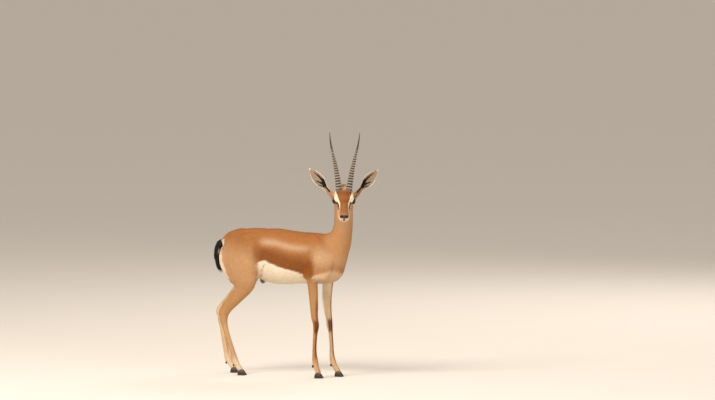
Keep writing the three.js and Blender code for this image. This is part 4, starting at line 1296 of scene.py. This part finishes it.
# Hollows between the muscles and along the tendons: side (0 is both), depth, half width, then X, Z points.
HOLLOWS = (
    (0, 2.6, 5.0, FLANK_FOLD),
    (0, 1.8, 10, [(-114, 590), (-98, 545), (-86, 505), (-70, 472)]),
    (0, 1.8, 8, [(-214, 560), (-224, 505), (-210, 445), (-186, 392)]),
    (0, 1.1, 14, [(126, 588), (137, 545), (147, 505), (141, 468)]),
    (0, 1.5, 7, [(198, 474), (180, 452), (162, 432)]),
    (0, 1.3, 11, [(222, 566), (233, 525), (240, 484)]),
    (-1, 2.0, 5, [(-196, 348), (-228, 300), (-252, 266)]),
    (1, 2.0, 5, [(-246, 346), (-282, 298), (-306, 264)]),
    (-1, 0.9, 3.2, [(-241, 214), (-231, 165), (-216.5, 120), (-205, 82)]),
    (1, 0.9, 3.2, [(-297, 212), (-291, 162), (-283, 120), (-276, 82)]),
    (-1, 0.8, 3.0, [(165.5, 190), (162, 141), (161, 98)]),
    (1, 0.8, 3.0, [(194, 184), (198.6, 138), (200.2, 98)]),
)
flat = SV[:, [0, 2]]
for y in (34, -34):  # the tops of the shoulder blades lie flat under the skin
    SV -= SN * (5.5 * np.exp(-(((SV - [139, y, 610]) / [20, 15, 15]) ** 2).sum(1)))[:, None]
for side, deep, half, line in HOLLOWS:
    line = np.array(line, float)
    lo, hi = line.min(0) - 3 * half, line.max(0) + 3 * half
    own = ((flat > lo) & (flat < hi)).all(1) & (np.abs(SN[:, 1]) > 0.2)
    if side:
        own &= (SV[:, 1] * side > 20) & (SN[:, 1] * side > 0)
    d, _ = off_line(flat[own], line)
    SV[own] -= SN[own] * (deep * np.exp(-((d / half) ** 2)) * step(np.abs(SN[own, 1]), 0.2, 0.6))[:, None]
SN = normals_of(SV, ST)
parts = parts_at(Cloud(SV))
SW = weights_at(parts)
SC = coat_colour(SV, SN, SW)
print("marked", round(time.time() - T0, 1))
skin = mesh_of("skin", SV, ST, SC * 0.96)
FLESH = ["trunk", "neck", "head", "tail", "ear_left", "ear_right"] + LEG_NAMES
done(skin, fur_skin, "coat", *FLESH)


# ---- eyes --------------------------------------------------------------------------------
def from_head(q, side=1):
    q = np.asarray(q, float) * [1, side, 1]
    return E + q @ HEAD


def loft(rings, start=None, end=None):
    """Triangles over rings of equal size, closed by a point at each end."""
    n, m = rings.shape[1], rings.shape[0]
    V = rings.reshape(-1, 3)
    i = np.arange(n)
    j = (i + 1) % n
    T = []
    for r in range(m - 1):
        a, b, c, d = r * n + i, r * n + j, (r + 1) * n + j, (r + 1) * n + i
        T += [np.stack([a, b, c], 1), np.stack([a, c, d], 1)]
    if start is not None:
        T.append(np.stack([np.full(n, len(V)), j, i], 1))
        V = np.vstack([V, start])
    if end is not None:
        T.append(np.stack([np.full(n, len(V)), (m - 1) * n + i, (m - 1) * n + j], 1))
        V = np.vstack([V, end])
    return V, np.vstack(T)


def outward(V, T):
    a, b, c = V[T[:, 0]], V[T[:, 1]], V[T[:, 2]]
    return T if (a * np.cross(b, c)).sum() > 0 else T[:, ::-1]


def make_eye(side, word):
    """An eyeball with a raised cornea; its colours are rings round the way it looks."""
    rows, cols = 72, 96
    th = np.pi * (np.arange(1, rows) / rows) ** 1.25  # finer at the front
    ph = 2 * np.pi * np.arange(cols) / cols
    r = EYE_RADIUS - 0.35 + 0.8 * np.exp(-((th / 0.75) ** 2))
    x = np.sin(th)[:, None] * np.cos(ph)[None]
    y = np.sin(th)[:, None] * np.sin(ph)[None]
    z = np.broadcast_to(np.cos(th)[:, None], x.shape)
    unit_p = np.stack([x, y, z], -1)
    local = unit_p * r[:, None, None]
    ends = np.array([[0, 0, r[0] + 0.02], [0, 0, -r[-1]]])
    V, T = loft(local, ends[0], ends[1])
    pos = V @ EYE_AXES.astype(float).T + np.array(EYE_AT)
    W = from_head(pos, side)
    T = outward(W - W.mean(0), T)
    q = V / np.linalg.norm(V, axis=1, keepdims=True)
    rad = np.degrees(np.arccos(np.clip(q[:, 2], -1, 1)))
    iris = mix(np.array([0.026, 0.011, 0.006]), np.array([0.010, 0.005, 0.004]), step(rad, 26, 50))
    iris = iris * (1 + 0.12 * np.sin(np.arctan2(q[:, 1], q[:, 0]) * 38))[:, None]
    c = mix(iris, np.array([0.009, 0.006, 0.005]), step(rad, 44, 56))
    c = mix(c, np.array([0.030, 0.018, 0.014]), step(rad, 70, 88))
    slit = (np.abs(q[:, 0]) / 0.50) ** 2.4 + (np.abs(q[:, 1]) / 0.20) ** 2.2
    c = mix(c, np.array([0.004, 0.004, 0.005]), 1 - step(slit, 0.75, 1.1))
    ob = mesh_of("eyeball_" + word, W, T, c)
    return done(ob, eye_finish, "eye", "eye_" + word)


# ---- horns --------------------------------------------------------------------------------
def make_horn(side, word):
    rows = np.array(HORN, float)
    line = dense(np.column_stack([level(side, rows[:, 0:1], rows[:, 1:2], rows[:, 2:3]), rows[:, 3]]), 24)
    run = np.concatenate([[0], np.cumsum(np.linalg.norm(np.diff(line[:, :3], axis=0), axis=1))])
    n, sides = 340, 56
    t = np.linspace(0, 1, n)
    at = np.stack([np.interp(t * run[-1], run, line[:, k]) for k in range(4)], 1)
    ax = unit(np.gradient(at[:, :3], axis=0))
    l = unit(HEAD_LEFT - ax * (ax @ HEAD_LEFT)[:, None])
    fo = np.cross(ax, l)
    ph = 2 * np.pi * np.arange(sides) / sides
    R, PH = at[:, 3][:, None] / 2, ph[None]
    span = (HORN_RINGED - 0.035) / HORN_RINGS
    front = np.sign((fo @ FACING).mean())
    # each ring leans down towards the back and is weaker there
    lean = 0.0035 * np.sin(PH) * front
    k = (t[:, None] - 0.035 + lean) / span + 0.035 * np.sin(PH * 2 + t[:, None] * 11) + 0.03 * np.sin(PH * 3 - t[:, None] * 23)
    f = k - np.floor(k)
    wave = np.where(f < 0.443, np.cos(np.pi * (1 - f / 0.443)), np.cos(np.pi * (f - 0.443) / 0.557))
    ringed = step(t, 0.02, 0.05)[:, None] * (1 - step(t[:, None], HORN_RINGED - 0.06, HORN_RINGED + 0.03))
    strong = (0.72 + 0.28 * np.sin(PH) * front) * ringed
    amp = (0.75 + 1.05 * (1 - t))[:, None] * strong
    grain = 0.12 * np.sin(PH * 17 + 3 * np.sin(t[:, None] * 9)) * (1 - t[:, None])
    r = R + amp * np.sign(wave) * np.abs(wave) ** 0.75 + grain * (0.3 + 0.7 * ringed)
    r[-1] = 0.35
    P = at[:, None, :3] + l[:, None] * (r * 0.95 * np.cos(PH))[..., None] + fo[:, None] * (r * 1.05 * np.sin(PH))[..., None]
    V, T = loft(P, at[0, :3], at[-1, :3] + ax[-1] * 0.6)
    T = outward(V - V.mean(0), T)
    crest = np.array([0.335, 0.262, 0.192])
    groove_shade = np.array([0.018, 0.011, 0.008])
    tip = np.array([0.050, 0.028, 0.021])
    w = 0.5 + 0.5 * wave
    # the ring crests are painted pale, a painted highlight where the ridges catch the light, and the grooves near
    # black, painted shade between the rings
    c = mix(groove_shade, crest, step(w, 0.22, 0.74) * ringed + (1 - ringed) * 0.2)
    c = mix(c, tip, np.broadcast_to(step(t, HORN_RINGED - 0.05, 0.86)[:, None], w.shape))
    c = mix(c, crest * 0.5, np.broadcast_to((1 - step(t, 0.0, 0.05))[:, None], w.shape))
    c = c * (1 + 0.13 * np.sin(PH * 23 + 5 * np.sin(t[:, None] * 13)) + 0.1 * np.sin(PH * 9 + 2))[..., None]
    C = np.vstack([c.reshape(-1, 3), c[0].mean(0), c[-1].mean(0)])
    ob = mesh_of("horn_sheath_" + word, V, T, C)
    return done(ob, horn_finish, "horn", "horn_" + word)


# ---- hooves and dewclaws -----------------------------------------------------------------------
def make_hoof(name, word, side):
    x, y = FEET[name]
    turn = math.radians(CLAW_SPLAY) * side
    fwd, out = np.array([math.cos(turn), math.sin(turn), 0]), np.array([-math.sin(turn), math.cos(turn), 0])
    base = np.array([x, y + CLAW_SPACING * side, 0.0])
    st = dense(CLAW, 7)
    s, w, h = st[:, 0], np.maximum(st[:, 1], 1.2), st[:, 2]
    th = np.linspace(0, np.pi, 29)
    C, S = np.cos(th), np.sin(th)
    inner = np.where(np.sign(C) == -side, 0.9, 1.0)  # the side towards the other claw is flatter
    u = np.sign(C) * np.abs(C) ** 0.62 * inner
    v = S**0.82
    grow = (s - s[0]) / (s[-1] - s[0])
    ringed = 0.16 * np.sin(v[None] * 26 + grow[:, None] * 3.0) * np.clip(v, 0, 1)[None]
    rings = base + fwd * s[:, None, None] + out * (u[None] * (w[:, None] + ringed))[..., None]
    rings[..., 2] = v[None] * (h[:, None] + ringed * 0.5)
    # close the flat sole with a row of points across it
    sole = np.linspace(-1, 1, 9)[1:-1]
    flat = base + fwd * s[:, None, None] + out * (sole[None] * w[:, None] * 0.97)[..., None]
    flat[..., 2] = 0.35 * (1 - sole[None] ** 2)
    rings = np.concatenate([rings, flat], 1)
    rings[:, 0, 2] = rings[:, 28, 2] = 0
    V, T = loft(rings, rings[0].mean(0), rings[-1].mean(0))
    T = outward(V - V.mean(0), T)
    z = V[:, 2]
    c = mix(np.array([0.040, 0.028, 0.020]), np.array([0.125, 0.088, 0.060]), step(z, 8, 26))
    c = c * (1 + 0.22 * np.sin(z * 3.1) + 0.15 * noise(V, 3, 21))[:, None]
    c = mix(c, np.array([0.13, 0.10, 0.08]), (1 - step(z, 0.6, 3.0)) * 0.6)
    ob = mesh_of("hoof_" + name.replace("leg", "") + "_" + word + "_wall", V, T, np.clip(c, 0.005, 1))
    done(ob, hoof_finish, "hoof", "hoof_" + name.replace("leg", "") + "_" + word)

    fx, fy, fz = FETLOCKS[name]
    rows, cols = 22, 26
    a = np.pi * np.arange(1, rows) / rows
    b = 2 * np.pi * np.arange(cols) / cols
    rr = 1 + 0.05 * np.cos(a * 9)[:, None] * np.ones(cols)
    q = np.stack([np.sin(a)[:, None] * np.cos(b) * 4.2 * rr, np.sin(a)[:, None] * np.sin(b) * 3.6 * rr, np.cos(a)[:, None] * 7.4 * np.ones(cols)], -1)
    q[..., 0] -= 1.2 * (1 - (q[..., 2] / 7.4) ** 2)  # hollow behind
    V, T = loft(q, [0, 0, 7.4], [0, 0, -7.4])
    ca, sa = math.cos(math.radians(28)), math.sin(math.radians(28))
    V = np.stack([V[:, 0] * ca + V[:, 2] * sa, V[:, 1], -V[:, 0] * sa + V[:, 2] * ca], 1) + np.array([fx + 2.4, fy + 6.2 * side, fz])
    T = outward(V - V.mean(0), T)
    c = mix(np.array([0.022, 0.017, 0.015]), np.array([0.06, 0.046, 0.038]), step(V[:, 2] - fz, -6, 6)) * (1 + 0.2 * noise(V, 2.5, 22))[:, None]
    ob = mesh_of("dewclaw_" + name.replace("leg", "") + "_" + word + "_horn", V, T, np.clip(c, 0.005, 1))
    done(ob, hoof_finish, "hoof", "dewclaw_" + name.replace("leg", "") + "_" + word)


for side, word in ((1, "left"), (-1, "right")):
    make_eye(side, word)
    make_horn(side, word)
for name in LEG_NAMES:
    s = 1 if name.endswith("left") else -1
    make_hoof(name, "outer", s)
    make_hoof(name, "inner", -s)
print("hard parts", round(time.time() - T0, 1))


# ---- coat ------------------------------------------------------------------------------------
AXES = {}  # for the unwrap: a line down the middle of each part
for n, st in (("trunk", TRUNK), ("neck", NECK), ("tail", TAIL), ("foreleg_right", mirrored(FORE_NEAR)), ("foreleg_left", FORE_FAR), ("hindleg_right", mirrored(HIND_NEAR)), ("hindleg_left", HIND_FAR)):
    AXES[n] = dense(st, 6)[:, :3]
AXES["head"] = from_head(np.column_stack([np.linspace(-70, 108, 40), np.zeros(40), np.linspace(2, -26, 40)]))
for s, n in ((1, "ear_left"), (-1, "ear_right")):
    AXES[n] = ear_place(s, np.linspace(0, 1, 30), np.zeros(30), -6.0)


def unwrap(P, n):
    """Where each point lies along and round the middle line of its part, from 0 to 1."""
    L = AXES[n]
    run = np.concatenate([[0], np.cumsum(np.linalg.norm(np.diff(L, axis=0), axis=1))])
    best, along, near = np.full(len(P), 1e18), np.zeros(len(P)), np.zeros(P.shape)
    for i in range(len(L) - 1):
        D = L[i + 1] - L[i]
        t = np.clip((P - L[i]) @ D / (D @ D), 0, 1)
        q = L[i] + t[:, None] * D
        d = ((P - q) ** 2).sum(1)
        m = d < best
        best[m], along[m], near[m] = d[m], (run[i] + t * (run[i + 1] - run[i]))[m], q[m]
    ax = unit(L[-1] - L[0])
    a = unit(np.cross(ax, [0.13, 0.99, 0.05]))
    b = np.cross(ax, a)
    r = P - near
    ahead = (r @ ax) * (np.abs(along - run[-1] / 2) > run[-1] / 2 - 1e-6)  # beyond the ends of the line
    along = along + ahead
    turn = np.arctan2(r @ b, r @ a) / (2 * np.pi) + 0.5
    lo, hi = along.min(), along.max()
    return np.stack([turn, (along - lo) / (hi - lo + 1e-9)], 1)


TREE = KDTree(len(SV))
for i, v in enumerate(SV):
    TREE.insert(v, i)
TREE.balance()


def laid(V, n, at, height):
    """Brings vertices of each tuft to the wanted height over the skin under them. Returns the skin's normal there."""
    mid = V[:, at].mean(1)
    near = np.array([TREE.find(p)[1] for p in mid])
    up = SN[near]
    same = (up * n).sum(1) > 0.25
    off = np.clip(height - ((mid - SV[near]) * up).sum(1), -3.0, 5.0) * same
    V[:, at] += (up * off[:, None])[:, None, :]
    return np.where(same[:, None], up, n)


def coat_piece(name, P, n, length, width, lift, lie, colour, uvpart, rng, slot="coat", material=None, bend=0.86, close=True, **kw):
    """One mesh of tufts, split where it would hold too many triangles."""
    material = material or fur
    V, T, NN = spindles(P, n, lie, length, width, lift, rng, **kw)
    over = np.repeat(n[:, None, :], V.shape[1], 1)
    if close:
        over[:, 3:6] = laid(V, n, slice(3, 6), lift * (1 - 0.5**1.7) - 0.11)[:, None]
        over[:, 6:7] = laid(V, n, slice(6, 7), lift)[:, None]
    per_v, per_t = V.shape[1], len(T) // len(P)
    uv0 = unwrap(P, uvpart)
    pieces = max(1, math.ceil(len(T) / 190000))
    # pieces follow one another along the part, so that each fills its own map
    order = np.argsort(uv0[:, 1], kind="stable")
    tone = rng.normal(1, 0.055, len(P))[:, None]
    grade = np.ones(per_v)
    grade[:3], grade[-1] = 0.9, 1.05
    C = np.clip((colour * tone)[:, None, :] * grade[None, :, None], 0.003, 0.95)
    NN = unit(NN * (1 - bend) + over * bend)
    base_t = T.reshape(len(P), per_t, 3) - (np.arange(len(P)) * per_v)[:, None, None]
    total = 0
    for k in range(pieces):
        o = order[k * len(P) // pieces : (k + 1) * len(P) // pieces]
        u = uv0[o].copy()
        lo, hi = u.min(0), u.max(0)
        u = 0.004 + 0.992 * (u - lo) / (hi - lo + 1e-9)
        spot = np.array([[-1, -1], [1, -1], [0, -0.4]] + [[-0.8, 0], [0.8, 0], [0, 0.4]] * ((per_v - 4) // 3) + [[0, 1]]) * 0.0014
        uv = (u[:, None, :] + spot[None]).reshape(-1, 2)
        t = (base_t[o] + (np.arange(len(o)) * per_v)[:, None, None]).reshape(-1, 3)
        ob = mesh_of(f"{name}_{k + 1}" if pieces > 1 else name, V[o].reshape(-1, 3), t, C[o].reshape(-1, 3), NN[o].reshape(-1, 3), uv)
        done(ob, material, slot)
        total += len(t)
    print(f"{name}: {len(P)} tufts, {total} triangles, {pieces} pieces, {time.time() - T0:.1f}")
    return total


PER = 1.0
region = SW.argmax(1)
q_all = (SV - E) @ HEAD.T
muzzle = step(q_all[:, 0], 20, 85)


def by_region(values, default=0.0):
    """A number for each skin vertex, blended over the parts."""
    v = np.zeros(len(SV))
    for i, n in enumerate(REGIONS):
        v += SW[:, i] * values.get(n, default)
    return v


Zs = SV[:, 2]
leg_len = np.interp(Zs, [20, 90, 230, 420, 480], [5.0, 6.0, 7.5, 11.0, 13.0])
leg_wid = np.interp(Zs, [20, 90, 230, 420, 480], [0.75, 0.82, 0.95, 1.2, 1.3])
LEN = by_region({"trunk": 12.5, "neck": 11.5, "tail": 8.0, "ear_left": 4.6, "ear_right": 4.6})
WID = by_region({"trunk": 1.3, "neck": 1.2, "tail": 1.2, "ear_left": 0.72, "ear_right": 0.72})
head_len = 6.2 - 3.6 * muzzle
head_wid = 0.85 - 0.30 * muzzle
hw = SW[:, REGIONS.index("head")]
LEN += hw * head_len
WID += hw * head_wid
for n in LEG_NAMES:
    LEN += SW[:, REGIONS.index(n)] * leg_len
    WID += SW[:, REGIONS.index(n)] * leg_wid
DEPTH = by_region({"trunk": 1.0, "neck": 0.85, "tail": 1.2, "head": 0.55, "ear_left": 0.35, "ear_right": 0.35})
for n in LEG_NAMES:
    DEPTH += SW[:, REGIONS.index(n)] * leg_coat(Zs) * 0.38
DEPTH = DEPTH * (1 - 0.45 * muzzle * hw)
heel = np.exp(-(((Zs - 56) / 13) ** 2)) * step(-SN[:, 0], 0.15, 0.7)
LEN += heel * 7.5
DEPTH += heel * 1.5
ears = SW[:, REGIONS.index("ear_left")] + SW[:, REGIONS.index("ear_right")]
DENSE = PER * (2.0 - 0.75 * ears) / (LEN * WID)
# none on the eyelids' edge, the nose, the nostrils and the mouth, or where the hooves are
Mq = q_all * [1, 0, 1] + np.stack([0 * q_all[:, 0], np.abs(q_all[:, 1]), 0 * q_all[:, 0]], 1)
eq = (Mq - np.array(EYE_AT)) @ EYE_AXES.astype(float)
bare = (np.linalg.norm(eq, axis=1) < 20) & (eq[:, 2] > 0) & (almond(eq) < 1.8)
up_all = -q_all[:, 0] * math.sin(PITCH) + q_all[:, 2] * math.cos(PITCH)
bare |= (q_all[:, 0] > 95) & (np.abs(q_all[:, 1]) < 18) & (up_all < -56) & (up_all > -72)
bare |= (q_all[:, 0] > 60) & (np.abs(q_all[:, 2] + 36.5) < 1.6) & (hw > 0.5)
bare |= Zs < 17
DENSE = np.where(bare, 0, DENSE)

GROUPS = {
    "coat_trunk": ["trunk"],
    "coat_neck": ["neck"],
    "coat_head": ["head"],
    "coat_ear_left": ["ear_left"],
    "coat_ear_right": ["ear_right"],
}
for n in LEG_NAMES:
    GROUPS["coat_" + n] = [n]
total = 0
for gi, (gname, names) in enumerate(GROUPS.items()):
    ids = [REGIONS.index(n) for n in names]
    own = np.isin(region, ids)
    tri = own[ST].sum(1) >= 2
    sub = ST[tri]
    P, n, tr, bary, rng = scatter(SV, sub, SN, DENSE, 100 + gi)
    lerp3 = lambda a: (a[sub[tr]] * bary).sum(1)
    L, W, D = lerp3(LEN), lerp3(WID), lerp3(DEPTH)
    wts = np.einsum("ij,ijk->ik", bary, SW[sub[tr]])
    col = coat_colour(P, n, wts)
    lie = lie_of(P, n, wts)
    lie = unit(lie) + 0.10 * np.stack([noise(P, 26, 31), noise(P, 26, 32), noise(P, 26, 33)], 1)
    L = L * rng.uniform(0.75, 1.2, len(P))
    W = W * rng.uniform(0.8, 1.25, len(P))
    D = D * rng.uniform(0.7, 1.05, len(P))
    total += coat_piece(gname, P, n, L, W, D, lie, col, names[0], rng, close="ear" not in gname)
print("coat so far", total)

# ---- the tail's brush -----------------------------------------------------------------------------
rng = np.random.default_rng(7)
dock = dense(DOCK, 10)
brush = dense(TAIL, 10)
count = int(2600 * PER)
t = rng.random(count) ** 0.9
k = t * (len(dock) - 1.001)
i = k.astype(int)
fr = (k - i)[:, None]
mid = dock[i, :3] * (1 - fr) + dock[i + 1, :3] * fr
rad0 = (dock[i, 3:4] * (1 - fr) + dock[i + 1, 3:4] * fr)
ax = unit(dock[i + 1, :3] - dock[i, :3])
a = unit(np.cross(ax, [0, 1.0, 0]))
b = np.cross(ax, a)
ph = rng.uniform(0, 2 * np.pi, count)[:, None]
n = a * np.cos(ph) + b * np.sin(ph)
root = mid + n * (rad0 - 1.0)
# each lock ends on the outline of the brush, some way further down
reach = np.clip(t * 0.62 + rng.uniform(0.16, 0.42, count), 0, 1)
kk = reach * (len(brush) - 1.001)
ii = kk.astype(int)
ff = (kk - ii)[:, None]
goal = brush[ii, :3] * (1 - ff) + brush[ii + 1, :3] * ff
br = brush[ii, 3:4] * (1 - ff) + brush[ii + 1, 3:4] * ff
goal = goal + n * br * (rng.uniform(0.35, 1.0, count) * (1 + 0.9 * step(reach, 0.72, 1.0)))[:, None]
stn = np.array([0.0, 0.3, 0.62])
Vt = np.zeros((count, 10, 3))
Nt = np.zeros_like(Vt)
way = goal - root
out_n = unit(n)
lat = unit(np.cross(out_n, way))
wide = rng.uniform(0.9, 1.5, count)
for s_i, s in enumerate(stn):
    m_ = root + way * s + out_n * (math.sin(math.pi * s) * 3.0)
    for kx, (u, h) in enumerate(((-0.5, -0.3), (0.5, -0.3), (0.0, 0.45))):
        w_ = wide * (0.9, 1.0, 0.7)[s_i]
        Vt[:, 3 * s_i + kx] = m_ + lat * (w_ * u)[:, None] + out_n * (w_ * h)[:, None]
        Nt[:, 3 * s_i + kx] = out_n + lat * (u * 1.2)
Vt[:, 9] = goal
Nt[:, 9] = out_n
tris = [(0, 2, 1)]
for m_i in range(2):
    for kx in range(3):
        a_, b_ = 3 * m_i + kx, 3 * m_i + (kx + 1) % 3
        tris += [(a_, b_, b_ + 3), (a_, b_ + 3, a_ + 3)]
for kx in range(3):
    tris.append((6 + kx, 6 + (kx + 1) % 3, 9))
Tt = (np.arange(count)[:, None, None] * 10 + np.array(tris)[None]).reshape(-1, 3)
Ct = BLACK * rng.uniform(0.7, 1.8, (count, 1, 1)) * np.ones((1, 10, 1))
Ct = mix(Ct, WHITE, ((root[:, 2] > 547) & (n[:, 0] > 0.45)).astype(float)[:, None] * np.ones((1, 10)))
u0 = unwrap(root, "tail")
lo, hi = u0.min(0), u0.max(0)
u0 = 0.004 + 0.992 * (u0 - lo) / (hi - lo)
spot = np.array([[-1, -1], [1, -1], [0, -0.5], [-0.8, 0], [0.8, 0], [0, 0.3], [-0.5, 0.5], [0.5, 0.5], [0, 0.7], [0, 1]]) * 0.0014
# a lock whose turning sense is wrong shows its inside, so its triangles are turned round
fn = np.cross(Vt[:, 1] - Vt[:, 0], Vt[:, 4] - Vt[:, 0])
tri_n = (fn * -out_n).sum(1)
Tq = Tt.reshape(count, -1, 3)
bad = tri_n < 0
Tq[bad] = Tq[bad][:, :, ::-1]
ob = mesh_of("tail_brush", Vt.reshape(-1, 3), Tq.reshape(-1, 3), Ct.reshape(-1, 3), unit(Nt).reshape(-1, 3), (u0[:, None, :] + spot[None]).reshape(-1, 2))
done(ob, tail_fur, "tail_hair")
print("all made", round(time.time() - T0, 1))


# ---- floor, light and camera --------------------------------------------------------------------
def plain(name, colour, rough, low=0.97, high=1.03):
    m, nt, b = nodes_of(name, Roughness=rough, Specular_IOR_Level=0.2)
    nz = noise_node(nt, 3.0, 2.0)
    r = node(nt, "ShaderNodeMapRange")
    r.inputs["To Min"].default_value, r.inputs["To Max"].default_value = low, high
    nt.links.new(nz.outputs["Fac"], r.inputs["Value"])
    mul = node(nt, "ShaderNodeVectorMath", operation="MULTIPLY")
    mul.inputs[0].default_value = colour
    nt.links.new(r.outputs["Result"], mul.inputs[1])
    nt.links.new(mul.outputs["Vector"], b.inputs["Base Color"])
    return m


fm = bpy.data.meshes.new("floor")
S = 400.0
fm.from_pydata([(-S, -S, 0), (S, -S, 0), (S, S, 0), (-S, S, 0)], [], [(0, 1, 2, 3)])
floor = bpy.data.objects.new("floor", fm)
floor.data.materials.append(plain("floor_paint", (0.76, 0.675, 0.58), 0.9, 0.985, 1.015))
bpy.context.scene.collection.objects.link(floor)

VIEW_AZ, VIEW_EL, AWAY = math.radians(22), math.radians(3.5), 20.0
cr = np.array([math.cos(VIEW_AZ), math.sin(VIEW_AZ), 0])
cb = np.array([math.sin(VIEW_AZ) * math.cos(VIEW_EL), -math.cos(VIEW_AZ) * math.cos(VIEW_EL), math.sin(VIEW_EL)])
cu = np.cross(cb, cr)
aim = metres(312.9 * cr + 737.5 * cu)
cam_data = bpy.data.cameras.new("camera")
cam = bpy.data.objects.new("camera", cam_data)
bpy.context.scene.collection.objects.link(cam)
from mathutils import Matrix

m4 = np.eye(4)
m4[:3, 0], m4[:3, 1], m4[:3, 2], m4[:3, 3] = cr, cu, cb, aim + cb * AWAY
cam.matrix_world = Matrix(m4.tolist())
cam_data.sensor_width = 36
cam_data.lens = 36 * AWAY / (715 * 4.2 / 1000)
cam_data.clip_end = 1500
bpy.context.scene.camera = cam


def area(name, at, aim_at, size, power, colour):
    d = bpy.data.lights.new(name, "AREA")
    d.shape = "DISK"
    d.size, d.energy, d.color = size, power, colour
    o = bpy.data.objects.new(name, d)
    bpy.context.scene.collection.objects.link(o)
    z = unit(np.array(at, float) - np.array(aim_at, float))
    x = unit(np.cross([0, 0, 1.0], z))
    m = np.eye(4)
    m[:3, 0], m[:3, 1], m[:3, 2], m[:3, 3] = x, np.cross(z, x), z, at
    o.matrix_world = Matrix(m.tolist())
    return o


area("key", (-1.6, -4.2, 4.6), (0, 0, 0.5), 3.0, 330, (1.0, 0.97, 0.93))
area("fill", (4.5, -3.0, 2.4), (0, 0, 0.5), 3.5, 90, (1.0, 0.98, 0.96))
area("back", (1.0, 4.5, 3.6), (0, 0, 0.6), 3.5, 110, (1.0, 0.98, 0.96))

world = bpy.data.worlds.new("studio")
bpy.context.scene.world = world
world.use_nodes = True
bg = world.node_tree.nodes["Background"]
bg.inputs["Color"].default_value = (0.95, 0.92, 0.88, 1)
bg.inputs["Strength"].default_value = 0.62
bpy.context.scene.view_settings.view_transform = "Standard"

bpy.context.view_layer.update()
